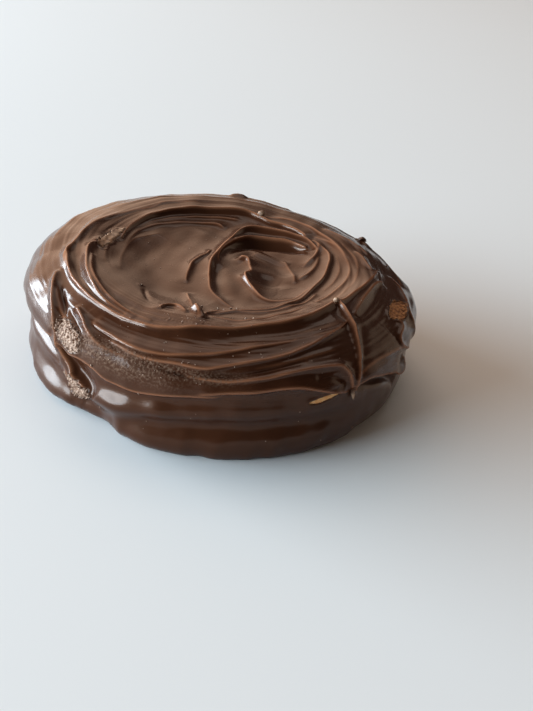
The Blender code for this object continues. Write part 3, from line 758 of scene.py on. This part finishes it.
def inside_outline(points, outline, ragged):
    """How far inside a closed outline the points near it lie, with a ragged border."""
    closed = [(angle, reach, 0.0) for angle, reach in outline + outline[:1]]
    line = unrolled_path(closed)
    found, distance = beside_path(points, line, OUTLINE_MARGIN)[:2]
    inside = np.where(enclosed(points[found], line), distance, -distance)
    rough = sum(height * lumps(points[found], size, waves, seed)
                for height, size, waves, seed in BORDER_LUMPS)
    return found, inside + ragged * rough


for name, outline in TEARS.items():
    centre = np.mean([corner[:2] for corner in unrolled_path([(*knot, 0.0) for knot in outline])],
                     axis=0, keepdims=True)
    print(name, "is", inside_outline(centre, outline, 0.0)[1].round(2), "mm deep in the middle")

# %% [markdown]
# The crest falls off on each side as its flank says. Crests that meet are joined by the cube root
# of the sum of their cubes, so the higher one wins without a seam. The swells are added to them,
# the coat sinks inside the tears and curls up a little round them, and over the crumbs it turns
# coarse.

# %% The relief of the coat
# How many flank sizes, or widths, a mark, a swell and a coarse zone reach to each side
FLANK_REACH = 5.0
SWELL_REACH = 3.0
ZONE_REACH = 2.5
# What an exponential flank still has at its end, which is taken off so that it ends at nothing
TAIL = math.exp(-FLANK_REACH)
# The share of its height with which a swell starts, before it is eased
SWELL_START = 0.25
# The half width of the painted glint line on a crest, and the height at which the line is full
CREST_LINE = 0.2
FULL_CREST = 0.8
# The coat's curled border round a tear: its height, its way out from the tear and its width
CURL_HEIGHT = 0.12
CURL_PLACE = 0.35
CURL_WIDTH = 0.25
# Crumbs under the coat and the clusters that they lie in: size, number of waves and seed
CRUMB_LUMPS = (0.55, 18, 8)
CLUSTERS = (3.0, 6, 9)
COARSENESS = 0.7
FULLY_COARSE = 0.1


def between(sizes, share):
    """The size at a share of the way; sizes is one size or a pair for start and end."""
    start, end = sizes if isinstance(sizes, tuple) else (sizes, sizes)
    return start + (end - start) * share


def crests(points):
    """Height of the crests, their sideways push and how sharp the coat is at the points, for the
    painted glint.
    """
    cubes = np.zeros(len(points))
    push = np.zeros((len(points), 2))
    edge = np.zeros(len(points))
    for one in MARKS:
        widest = max(np.max(one["left"]), np.max(one["right"]))
        found, distance, value, whole = beside_path(points, unrolled_path(one["path"]),
                                                    FLANK_REACH * widest)
        side, height, along = value[:, 0], value[:, 1], value[:, 2]
        flank = np.where(side > 0, between(one["left"], along / whole),
                         between(one["right"], along / whole))
        fade = eased(np.minimum(along, whole - along) / one["taper"])
        rounded = np.hypot(distance, one["crisp"]) - one["crisp"]
        fall = np.maximum(np.exp(-rounded / flank) - TAIL, 0.0) / (1.0 - TAIL)
        cubes[found] += (height * fade * fall) ** 3
        push[found] += (one["lean"] * fade * fall**2)[:, None] * value[:, 3:]
        sharp = fade * np.clip(height / FULL_CREST, 0.0, 1.0)
        edge[found] = np.maximum(edge[found], sharp * np.exp(-((distance / CREST_LINE) ** 2)))
    return np.cbrt(cubes), push, edge


def add_swells(points, height):
    """Adds the soft bumps and hollows to the height."""
    for one in SWELLS:
        found, distance, value, whole = beside_path(points, unrolled_path(one["path"]),
                                                    SWELL_REACH * one["width"])
        ends = np.minimum(value[:, 2], whole - value[:, 2])
        fade = eased(ends / one["taper"] + SWELL_START)
        height[found] += value[:, 1] * fade * np.exp(-((distance / one["width"]) ** 2))


def sink_tears(points, height):
    """Sinks the height inside each tear and curls it up a little round it."""
    for name, outline in TEARS.items():
        found, inside = inside_outline(points, outline, RAGGED[name])
        height[found] -= TEAR_DEPTH[name] * eased(inside / TEAR_EDGE + 0.5)
        height[found] += CURL_HEIGHT * np.exp(-((inside + CURL_PLACE) / CURL_WIDTH) ** 2)


def coarsen(points, height):
    """Roughens the height over the crumbs, and gives the coarseness of each point."""
    coarse = np.zeros(len(points))
    for path, width in COARSE_ZONES:
        found, distance, value = beside_path(points, unrolled_path(path), ZONE_REACH * width)[:3]
        fade = value[:, 1] * np.exp(-((distance / width) ** 2))
        clusters = 0.6 + 0.5 * lumps(points[found], *CLUSTERS)
        height[found] += COARSENESS * fade * lumps(points[found], *CRUMB_LUMPS) * clusters
        coarse[found] = np.maximum(coarse[found], np.clip(fade / FULLY_COARSE, 0.0, 1.0))
    return coarse


def relief(points):
    """Height over the plain coat and sideways push, in mm, sharpness of the crest and
    coarseness, at points of the flat sheet."""
    height, push, edge = crests(points)
    add_swells(points, height)
    sink_tears(points, height)
    coarse = coarsen(points, height)
    return height, push, edge, coarse


print("relief in the middle:", relief(middle)[0].round(3), "mm")

# %% [markdown]
# ## The sheet of chocolate
# The coat is laid like a sheet: a round patch for the dish, and a long strip wound round the
# shoulder, the side and under the foot. A spun section would bunch its faces in the middle of the
# dish, where the marks are finest, so both parts start as grids. The square grid becomes a disc
# whose edge points stand at equal angles, so the strip's columns meet them one by one.

# %% Grids and discs
def grid(name, across, along):
    """A flat square from -1 to 1, with that many faces across and along."""
    bpy.ops.object.select_all(action="DESELECT")
    bpy.ops.mesh.primitive_grid_add(x_subdivisions=across, y_subdivisions=along, size=2.0)
    sheet = bpy.context.object
    sheet.name = name
    sheet.data.name = name
    return sheet


def vertex_array(thing):
    points = np.empty(len(thing.data.vertices) * 3)
    thing.data.vertices.foreach_get("co", points)
    return points.reshape(-1, 3)


def square_to_disc(points):
    """Points of the square from -1 to 1 as angle and radius in a disc of radius 1."""
    x, y = points[:, 0], points[:, 1]
    wide = np.abs(x) > np.abs(y)
    radius = np.where(wide, x, y)
    safe = np.where(radius == 0.0, 1.0, radius)
    angle = np.where(wide, math.pi / 4 * y / safe, math.pi / 2 - math.pi / 4 * x / safe)
    return np.arctan2(radius * np.sin(angle), radius * np.cos(angle)), np.abs(radius)


print("corner of the square:", square_to_disc(np.ones((1, 2))))

# %% [markdown]
# All grid points take their place on the plain coat and are then lifted by the marks. Each point
# keeps what the finish needs to know: its reach, how sharp and how coarse the coat is there, and a
# place for the drag lines, in which one turn round the coat is short and its reach is long, so
# that a texture read there runs round the coat in streaks.

# %% Laying a sheet on the coat
PATCH_STEPS = 240
COLUMNS = 4 * PATCH_STEPS
PATCH_REACH = 22.0
SHOULDER_REACH = 39.0
SHOULDER_ROWS = 85
SIDE_ROWS = 70
FOOT_ROWS = 8
SEAM_ANGLE = math.radians(90.0)
FOOT_FADE = 1.5
DRAG_TURN = 6.0
JOIN_REACH = 0.004


def keep_on_points(sheet, name, kind, values):
    """Stores a value of each point as an attribute that a material can read."""
    layer = sheet.data.attributes.new(name, kind, "POINT")
    layer.data.foreach_set("vector" if kind == "FLOAT_VECTOR" else "value",
                           values.astype(np.float32).ravel())


def laid_on_coat(sheet, angle, reach):
    """Moves the grid's points onto the coat, lifts them, and keeps what the finish needs."""
    cos, sin = np.cos(angle), np.sin(angle)
    flat = np.stack([reach * cos, reach * sin], axis=-1)
    height, push, edge, coarse = relief(flat)
    fade = np.clip((FOOT_REACH - reach) / FOOT_FADE, 0.0, 1.0)
    height = (height + unevenness(flat, angle, reach)) * fade
    place, normal, downhill, sideways, radius = on_coat(angle, reach)
    stretch = radius / np.maximum(reach, 1e-6)
    down = (push[:, 0] * cos + push[:, 1] * sin) * fade
    side = (push[:, 1] * cos - push[:, 0] * sin) * stretch * fade
    place += normal * height[:, None] + downhill * down[:, None] + sideways * side[:, None]
    place[:, 2] = np.maximum(place[:, 2], 0.0)
    sheet.data.vertices.foreach_set("co", (place * MM).ravel())
    keep_on_points(sheet, "drag", "FLOAT_VECTOR",
                   np.stack([DRAG_TURN * cos, DRAG_TURN * sin, reach], axis=-1))
    # How sharp the coat is at each point, which places the painted glint on the crests
    keep_on_points(sheet, "edge", "FLOAT", edge)
    keep_on_points(sheet, "reach", "FLOAT", reach)
    keep_on_points(sheet, "coarse", "FLOAT", coarse)
    sheet.data.update()


def lay_patch():
    """The round patch of the dish."""
    sheet = grid("dish_patch", PATCH_STEPS, PATCH_STEPS)
    angle, radius = square_to_disc(vertex_array(sheet))
    laid_on_coat(sheet, angle, radius * PATCH_REACH)
    return sheet


def lay_strip():
    """The strip that is wound round the shoulder, the side and under the foot."""
    rows = np.concatenate([
        np.linspace(PATCH_REACH, SHOULDER_REACH, SHOULDER_ROWS, endpoint=False),
        np.linspace(SHOULDER_REACH, FOOT_REACH, SIDE_ROWS, endpoint=False),
        np.linspace(FOOT_REACH, SECTION_REACH[-1], FOOT_ROWS + 1)])
    strip = grid("wound_strip", COLUMNS, len(rows) - 1)
    points = vertex_array(strip)
    column = np.rint((points[:, 0] + 1.0) / 2.0 * COLUMNS)
    row = np.rint((1.0 - points[:, 1]) / 2.0 * (len(rows) - 1)).astype(int)
    laid_on_coat(strip, SEAM_ANGLE + column / COLUMNS * math.tau, rows[row])
    return strip


def lay_coat():
    """Patch and strip, joined along their common edge and where the strip's ends meet."""
    patch, strip = lay_patch(), lay_strip()
    bpy.ops.object.select_all(action="DESELECT")
    patch.select_set(True)
    strip.select_set(True)
    bpy.context.view_layer.objects.active = strip
    bpy.ops.object.join()
    bpy.ops.object.mode_set(mode="EDIT")
    bpy.ops.mesh.select_all(action="SELECT")
    bpy.ops.mesh.remove_doubles(threshold=JOIN_REACH * MM)
    bpy.ops.object.mode_set(mode="OBJECT")
    strip.name = "coat"
    bpy.ops.object.shade_smooth()
    return strip


coat = lay_coat()
print("coat:", len(coat.data.vertices), "points,", len(coat.data.polygons), "faces")

# %% [markdown]
# ## The finish of the chocolate
# Set chocolate is a dark brown with a soft gloss. One even material would look like plastic, so
# the finish follows the surface: smooth where the coat ran down the side, streaked and duller
# where the knife dragged it, and dry and specked where crumbs lie under it. Its thin crests are
# painted lighter and redder, a painted glint for the light they catch. A thin clear coat gives the
# last sheen, but not over the crumbs.

# %% The finish of the chocolate
DARK_CHOCOLATE = (0.036, 0.0108, 0.0044, 1.0)
WARM_CHOCOLATE = (0.053, 0.0160, 0.0066, 1.0)
# A painted glint: the lighter, redder colour given to the sharp crests
CREST_GLINT = (0.27, 0.105, 0.050, 1.0)
DUSTED = (0.14, 0.078, 0.050, 1.0)
REDDISH_GLOSS = (1.0, 0.60, 0.40, 1.0)


def combined(owner, operation, *terms):
    """The output of a Math node; each term is a number or the output of another node."""
    node = add_node(owner, "ShaderNodeMath", operation=operation)
    for socket, term in zip(node.inputs, terms):
        feed(socket, term)
    return node.outputs["Value"]


def ranged(owner, value, from_limits, to_limits=(0.0, 1.0)):
    """The output of a Map Range node."""
    return add_node(owner, "ShaderNodeMapRange", value=value, from_min=from_limits[0],
                    from_max=from_limits[1], to_min=to_limits[0],
                    to_max=to_limits[1]).outputs["Result"]


def bump(owner, height, strength, distance, **values):
    """The normal from a Bump node; the distance is in millimetres."""
    return add_node(owner, "ShaderNodeBump", height=height, strength=strength,
                    distance=distance * MM, **values).outputs["Normal"]


def chocolate():
    material, shader = new_material("chocolate")
    place = add_node(material, "ShaderNodeTexCoord").outputs["Object"]
    drag = add_node(material, "ShaderNodeAttribute", attribute_name="drag").outputs["Vector"]
    edge, reach, coarse = [
        add_node(material, "ShaderNodeAttribute", attribute_name=name).outputs["Fac"]
        for name in ("edge", "reach", "coarse")]
    streak = add_node(material, "ShaderNodeTexNoise", vector=drag, scale=1.6, detail=5.0,
                      roughness=0.6).outputs["Fac"]
    cloud = add_node(material, "ShaderNodeTexNoise", vector=place, scale=180.0,
                     detail=3.0).outputs["Fac"]
    grain = add_node(material, "ShaderNodeTexNoise", vector=place, scale=2600.0,
                     detail=3.0).outputs["Fac"]

    tone = mixed_colour(material, cloud, DARK_CHOCOLATE, WARM_CHOCOLATE)
    # The sharp crests are painted lighter and redder, a painted glint
    thin = mixed_colour(material, edge, tone, CREST_GLINT)
    specks = combined(material, "MULTIPLY", coarse, ranged(material, grain, (0.46, 0.64)))
    colour = mixed_colour(material, specks, thin, DUSTED)

    down_side = ranged(material, reach, (38.0, 44.0), (0.18, 0.24))
    dragged = combined(material, "MULTIPLY", streak, 0.14)
    gloss = combined(material, "ADD", down_side, dragged)
    dull = combined(material, "MULTIPLY_ADD", coarse, 0.42, gloss)

    depth = ranged(material, reach, (37.0, 42.0), (0.35, 0.06))
    streaked = bump(material, streak, depth, 0.08)
    fine = bump(material, grain, 0.2, 0.03, normal=streaked)

    set_up(shader, base_color=colour, roughness=dull, normal=fine, ior=1.35,
           specular_tint=REDDISH_GLOSS, coat_roughness=0.15,
           coat_weight=ranged(material, coarse, (0.0, 1.0), (0.26, 0.0)))
    return material


CHOCOLATE = chocolate()
coat.data.materials.append(CHOCOLATE)
print("nodes in the chocolate:", len(CHOCOLATE.node_tree.nodes))

# %% [markdown]
# ## Three pieces of coat
# A single mesh would be too heavy, so the coat is parted into dish, shoulder and side. The smooth
# normals are kept from before the parting, so that the light runs over the joins without a line.

# %% Parting a mesh
def part_off(thing, chosen, name):
    """Makes the chosen faces of the mesh a new object of that name."""
    bpy.ops.object.select_all(action="DESELECT")
    thing.select_set(True)
    bpy.context.view_layer.objects.active = thing
    thing.data.polygons.foreach_set("select", chosen)
    bpy.ops.object.mode_set(mode="EDIT")
    bpy.ops.mesh.separate(type="SELECTED")
    bpy.ops.object.mode_set(mode="OBJECT")
    other = [one for one in bpy.context.selected_objects if one is not thing][0]
    other.name = name
    other.data.name = name
    return other


def face_reach(thing):
    """The least reach of any corner of each face."""
    values = np.empty(len(thing.data.vertices), np.float32)
    thing.data.attributes["reach"].data.foreach_get("value", values)
    corners = np.empty(len(thing.data.loops), np.int32)
    thing.data.loops.foreach_get("vertex_index", corners)
    return np.minimum.reduceat(values[corners],
                               [face.loop_start for face in thing.data.polygons])


def keep_normals(thing):
    """Stores the smooth normals as an attribute, which parting leaves as it is."""
    normals = np.empty(len(thing.data.vertices) * 3, np.float32)
    thing.data.vertex_normals.foreach_get("vector", normals)
    layer = thing.data.attributes.new("smooth_normal", "FLOAT_VECTOR", "POINT")
    layer.data.foreach_set("vector", normals)


def use_kept_normals(thing):
    """Makes the stored normals the ones that the light sees."""
    layer = thing.data.attributes["smooth_normal"]
    normals = np.empty(len(thing.data.vertices) * 3, np.float32)
    layer.data.foreach_get("vector", normals)
    thing.data.normals_split_custom_set_from_vertices(normals.reshape(-1, 3).tolist())


print("reach of the faces:", face_reach(coat).min(), "to", face_reach(coat).max().round(1), "mm")

# %% Three pieces of coat
BORDER_SLACK = 0.01

keep_normals(coat)
bpy.ops.object.mode_set(mode="EDIT")
bpy.ops.mesh.select_mode(type="FACE")
bpy.ops.mesh.select_all(action="DESELECT")
bpy.ops.object.mode_set(mode="OBJECT")
coat_dish = part_off(coat, face_reach(coat) < PATCH_REACH - BORDER_SLACK, "coat_dish")
coat_shoulder = part_off(coat, face_reach(coat) < SHOULDER_REACH - BORDER_SLACK,
                         "coat_shoulder")
coat.name = "coat_side"
coat.data.name = "coat_side"
for piece in (coat_dish, coat_shoulder, coat):
    use_kept_normals(piece)
    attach(piece, "root")
    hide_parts("chocolate_coat")
    print(piece.name, 2 * len(piece.data.polygons), "triangles")

# %% [markdown]
# ## Biscuit, cream and broken chocolate
# The biscuit is dry and coarse, brown where it baked and sandy where it broke. The cream is soft
# and even. Chocolate that was torn while it set is dull and lighter than the glossy skin. All are
# grainy, so one recipe serves them: cells mixed with clouds, in grains of each food's own size.

# %% Biscuit, cream and broken chocolate
def grainy(name, dark, light, roughness, size, depth):
    """A dry material with two tones in grains of the given size in millimetres."""
    material, shader = new_material(name)
    place = add_node(material, "ShaderNodeTexCoord").outputs["Object"]
    cells = add_node(material, "ShaderNodeTexVoronoi", vector=place, scale=1.0 / (size * MM),
                     randomness=1.0).outputs["Distance"]
    cloud = add_node(material, "ShaderNodeTexNoise", vector=place, scale=0.4 / (size * MM),
                     detail=4.0, roughness=0.7).outputs["Fac"]
    grain = combined(material, "MULTIPLY", cells, cloud)
    tone = mixed_colour(material, ranged(material, grain, (0.08, 0.45)), light, dark)
    set_up(shader, base_color=tone, roughness=roughness, specular_ior_level=0.3,
           normal=bump(material, grain, 0.6, depth, invert=True))
    return material


BISCUIT = grainy("baked biscuit", dark=(0.13, 0.056, 0.030, 1.0), light=(0.54, 0.355, 0.255, 1.0),
                 roughness=0.7, size=0.35, depth=0.25)
BROWNED = grainy("browned biscuit", dark=(0.13, 0.048, 0.018, 1.0),
                 light=(0.54, 0.245, 0.095, 1.0), roughness=0.7, size=0.6, depth=0.15)
CREAM = grainy("cream", dark=(0.85, 0.36, 0.12, 1.0), light=(0.95, 0.60, 0.28, 1.0),
               roughness=0.4, size=0.9, depth=0.05)
BROKEN = grainy("broken chocolate", dark=(0.13, 0.065, 0.038, 1.0), light=(0.44, 0.27, 0.17, 1.0),
                roughness=0.35, size=0.9, depth=0.05)
for name, material in (("top_biscuit", BISCUIT), ("bottom_biscuit", BISCUIT),
                       ("cream_filling", CREAM)):
    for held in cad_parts[name].material_slots:
        held.material = material
print("materials:", BISCUIT.name, BROWNED.name, CREAM.name, BROKEN.name)

# %% [markdown]
# ## The crumb in the tears
# The solid biscuits are plain, and broken biscuit is a heap of grains. A heap of separate balls
# would be heavy, so a grid is laid into each tear: inside the outline it rises over rounded
# grains, outside it dives under the coat, and Solidify gives it a back.

# %% A heap of grains
GRAIN_SIZES = (0.13, 0.32)
GRAIN_LIFT = (-0.22, 0.10)
GRAIN_BED = -0.14
FAR_BELOW = 9.0


def grains(points, count, seed):
    """Heights of a heap of round grains with seeded places and sizes, in mm."""
    draw = np.random.default_rng(seed)
    low, high = points.min(axis=0), points.max(axis=0)
    centres = draw.uniform(low, high, (count, 2))
    sizes = draw.uniform(*GRAIN_SIZES, count)
    lift = draw.uniform(*GRAIN_LIFT, count)
    height = np.full(len(points), GRAIN_BED)
    for centre, size, base in zip(centres, sizes, lift):
        apart = np.sum((points - centre) ** 2, axis=1)
        height = np.maximum(height, base + np.sqrt(np.maximum(size**2 - apart, 0.0))
                            - FAR_BELOW * (apart > size**2))
    return height


print("one grain rises to", grains(middle, 1, 21).round(2), "mm")

# %% The crumb in the tears
CRUMB_CELL = 0.09
CRUMB_MARGIN = 0.7
CRUMB_BACK = 0.25
# The grains lie as far as this past the outline; beyond it the sheet dives under the coat
CRUMB_BORDER = 0.15
CRUMB_DIVE = 0.35
CRUMB_DIVE_MORE = 0.2
RISE_WIDTH = 0.5
GRAINS_DEEP = 3.4
GRAIN_AREA = 0.1


def lay_crumb(name, material, rise, coarse, seed):
    """A sheet of crumb in a tear; rise lifts all of it, coarse scales its grains."""
    outline = TEARS[name]
    angle, reach = np.radians([a for a, _ in outline]), np.array([r for _, r in outline])
    corners = np.stack([reach * np.cos(angle), reach * np.sin(angle)], axis=-1)
    low, high = corners.min(axis=0) - CRUMB_MARGIN, corners.max(axis=0) + CRUMB_MARGIN
    steps = np.ceil((high - low) / CRUMB_CELL).astype(int)
    sheet = grid(name + "_crumb", int(steps[0]), int(steps[1]))
    flat = low + (vertex_array(sheet)[:, :2] + 1.0) / 2.0 * (high - low)
    reach = np.hypot(flat[:, 0], flat[:, 1])
    angle = np.arctan2(flat[:, 1], flat[:, 0])
    height = relief(flat)[0] + unevenness(flat, angle, reach)
    depth = np.full(len(flat), -FAR_BELOW)
    found, inside = inside_outline(flat, outline, RAGGED[name])
    depth[found] = inside
    count = int(GRAINS_DEEP * np.prod(high - low) / GRAIN_AREA)
    bed = rise * eased(depth / RISE_WIDTH + 0.3) + coarse * grains(flat, count, seed)
    height += np.where(depth > -CRUMB_BORDER, bed, -CRUMB_DIVE - CRUMB_DIVE_MORE * eased(-depth))
    place, normal = on_coat(angle, reach)[:2]
    place += normal * height[:, None]
    sheet.data.vertices.foreach_set("co", (place * MM).ravel())
    sheet.data.update()
    sheet.data.materials.append(material)
    bpy.ops.object.modifier_add(type="SOLIDIFY")
    sheet.modifiers[-1].thickness = CRUMB_BACK * MM
    sheet.modifiers[-1].offset = -1.0
    bpy.ops.object.modifier_apply(modifier=sheet.modifiers[-1].name)
    bpy.ops.object.shade_smooth()
    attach(sheet, "root")
    print(sheet.name, len(sheet.data.polygons), "faces")


lay_crumb("left_upper", BISCUIT, rise=0.30, coarse=1.2, seed=21)
lay_crumb("left_lower", BISCUIT, rise=0.35, coarse=1.2, seed=22)
lay_crumb("right", BROWNED, rise=0.35, coarse=0.5, seed=23)
lay_crumb("cream", CREAM, rise=0.55, coarse=0.06, seed=24)
lay_crumb("blob", BROKEN, rise=0.15, coarse=0.1, seed=25)

# %% [markdown]
# ## Knobs and points
# Where the knife left the coat it pulled up a knob at the end of the rim, a bump at the back, a
# point on the outline and the torn tip of the fin. The sheet is too thin-skinned to draw them out
# of it, so each starts as a ball that is drawn out to a point and bent by seeded unevenness. Its
# lower part is sunk in the coat.

# %% Knobs and points
WOBBLE = 0.16
WOBBLE_SIZE = 0.9
WOBBLE_SHIFT = 3.0
OUT_OF_COAT = 0.55


def coat_place(angle, reach):
    """The point on the marked coat, in mm, and the outward normal of the plain coat."""
    flat = np.stack([reach * np.cos(angle), reach * np.sin(angle)], axis=-1)
    height = relief(flat)[0] + unevenness(flat, angle, reach)
    place, normal = on_coat(angle, reach)[:2]
    return place + normal * height[:, None], normal


def pulled_point(name, angle, reach, width, length, way, taper, seed, material=BROKEN):
    """A drawn-out ball on the coat; way mixes outward, downhill and sideways."""
    angle, reach = np.radians([angle]), np.array([reach])
    place, normal = coat_place(angle, reach)
    downhill, sideways = on_coat(angle, reach)[2:4]
    aim = Vector(way[0] * normal[0] + way[1] * downhill[0] + way[2] * sideways[0]).normalized()
    bpy.ops.object.select_all(action="DESELECT")
    bpy.ops.mesh.primitive_ico_sphere_add(subdivisions=4, radius=1.0)
    bit = bpy.context.object
    bit.name = name
    points = vertex_array(bit)
    thin = 1.0 - taper * (points[:, 2:3] + 1.0) / 2.0
    bent = lumps(points[:, :2] + WOBBLE_SHIFT * points[:, 2:3], WOBBLE_SIZE, 9, seed)
    wobble = 1.0 + WOBBLE * bent[:, None]
    points[:, :2] *= thin * wobble * width / 2.0
    points[:, 2] = (points[:, 2] + OUT_OF_COAT) * length / 2.0
    bit.data.vertices.foreach_set("co", (points * MM).ravel())
    bit.data.update()
    bit.location = Vector(place[0]) * MM
    bit.rotation_euler = aim.to_track_quat("Z", "Y").to_euler()
    bpy.ops.object.transform_apply(location=True, rotation=True, scale=True)
    bpy.ops.object.shade_smooth()
    bit.data.materials.append(material)
    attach(bit, "root")
    print(name, "at", [round(v, 1) for v in place[0]], "mm")


# The rim knob and the back bump are of the lighter broken chocolate: their pale colour is a painted
# highlight for their white shine
pulled_point("rim_knob", 323.5, 25.8, width=1.1, length=0.9, way=(1.0, 0.2, -0.4), taper=0.2,
             seed=51)
pulled_point("back_bump", 74.0, 23.2, width=1.5, length=1.1, way=(1.0, 0.0, 0.0), taper=0.1,
             seed=52)
pulled_point("outline_point", 35.0, 34.2, width=2.2, length=1.1, way=(1.0, -0.2, 0.3), taper=0.5,
             seed=54, material=CHOCOLATE)
pulled_point("fin_tip", 310.5, 42.2, width=0.9, length=2.2, way=(0.45, 1.0, 0.0), taper=0.6,
             seed=55)

# %% [markdown]
# ## Loose crumbs
# Crumbs stick to the coat: some as large as a grain of sugar, most like dust. Particles would
# scatter them, but each crumb has to be a mesh of its own. So three crumbs are modelled from a
# ball with few faces, squashed and roughened, and copied to all their places. The crumbs come
# last, since they lie on everything else.

# %% The shape and the places of the crumbs
# Larger crumbs, each with its angle, reach and size
CRUMB_PLACES = (
    (261, 19.9, 0.5), (276, 18.7, 0.6), (272, 20.0, 0.45), (281, 24.3, 0.5), (284, 24.7, 0.4),
    (258, 28.8, 0.3), (263, 29.1, 0.3), (322, 26.0, 0.35), (240, 49.2, 0.3), (269, 19.2, 0.4),
    (279, 19.0, 0.35), (261, 25.4, 0.45), (265, 23.2, 0.35), (223, 19.8, 0.3), (15, 33.7, 0.45),
    (238, 40.9, 0.45), (252, 42.9, 0.45), (224, 33.0, 0.2), (312, 42.6, 0.3),
)
# The first and last angle of a zone, its least and greatest reach, and how many crumbs it has
DUST_ZONES = (
    (220, 268, 36.0, 39.6, 90), (250, 285, 26.8, 29.4, 26), (255, 282, 18.5, 26.0, 16),
    (236, 300, 31.0, 36.0, 22), (238, 330, 42.0, 51.0, 12), (100, 260, 5.0, 24.0, 12),
    (300, 380, 28.0, 40.0, 10),
)
DUST_SIZES = (0.09, 0.24)
CRUMB_SEEDS = (41, 42, 43)
CRUMB_FORM = (1.0, 0.8, 0.6)


def crumb_shape(seed):
    """A crumb one millimetre wide."""
    bpy.ops.object.select_all(action="DESELECT")
    bpy.ops.mesh.primitive_ico_sphere_add(subdivisions=2, radius=0.5 * MM)
    crumb = bpy.context.object
    draw = np.random.default_rng(seed)
    points = vertex_array(crumb)
    points *= draw.uniform(0.7, 1.25, (len(points), 1)) * CRUMB_FORM
    crumb.data.vertices.foreach_set("co", points.ravel())
    crumb.data.update()
    return crumb


def crumb_list(draw):
    """The larger crumbs and the dust, as rows of angle, reach and size."""
    listed = list(CRUMB_PLACES)
    for first, last, low, high, count in DUST_ZONES:
        for _ in range(count):
            listed.append((draw.uniform(first, last), draw.uniform(low, high),
                           draw.uniform(*DUST_SIZES)))
    return np.array(listed)


print(len(CRUMB_PLACES), "larger crumbs,", sum(zone[-1] for zone in DUST_ZONES), "like dust")

# %% Loose crumbs
SCATTER_SEED = 31
CRUMB_LIFT = 0.15


def copy_at(model, place, size, turn):
    """A copy of the crumb with a mesh of its own."""
    bpy.ops.object.select_all(action="DESELECT")
    model.select_set(True)
    bpy.context.view_layer.objects.active = model
    bpy.ops.object.duplicate(linked=False)
    crumb = bpy.context.object
    crumb.location = Vector(place) * MM
    crumb.scale = (size, size, size)
    crumb.rotation_euler = turn
    return crumb


def scatter_crumbs():
    """All crumbs in one mesh; each lies on the coat, turned its own way."""
    draw = np.random.default_rng(SCATTER_SEED)
    listed = crumb_list(draw)
    places, normals = coat_place(np.radians(listed[:, 0]), listed[:, 1])
    shapes = [crumb_shape(seed) for seed in CRUMB_SEEDS]
    copies = []
    for index, (place, normal, size) in enumerate(zip(places, normals, listed[:, 2])):
        copies.append(copy_at(shapes[index % len(shapes)], place + normal * size * CRUMB_LIFT,
                              size, draw.uniform(0.0, math.tau, 3)))
    bpy.ops.object.select_all(action="DESELECT")
    for model in shapes:
        model.select_set(True)
    bpy.ops.object.delete()
    for crumb in copies:
        crumb.select_set(True)
    bpy.context.view_layer.objects.active = copies[0]
    bpy.ops.object.join()
    crumbs = bpy.context.object
    crumbs.name = "loose_crumbs"
    crumbs.data.name = "loose_crumbs"
    bpy.ops.object.transform_apply(location=True, rotation=True, scale=True)
    bpy.ops.object.shade_flat()
    crumbs.data.materials.append(BISCUIT)
    return crumbs


loose_crumbs = scatter_crumbs()
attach(loose_crumbs, "root")
print("crumbs:", len(loose_crumbs.data.polygons), "faces")
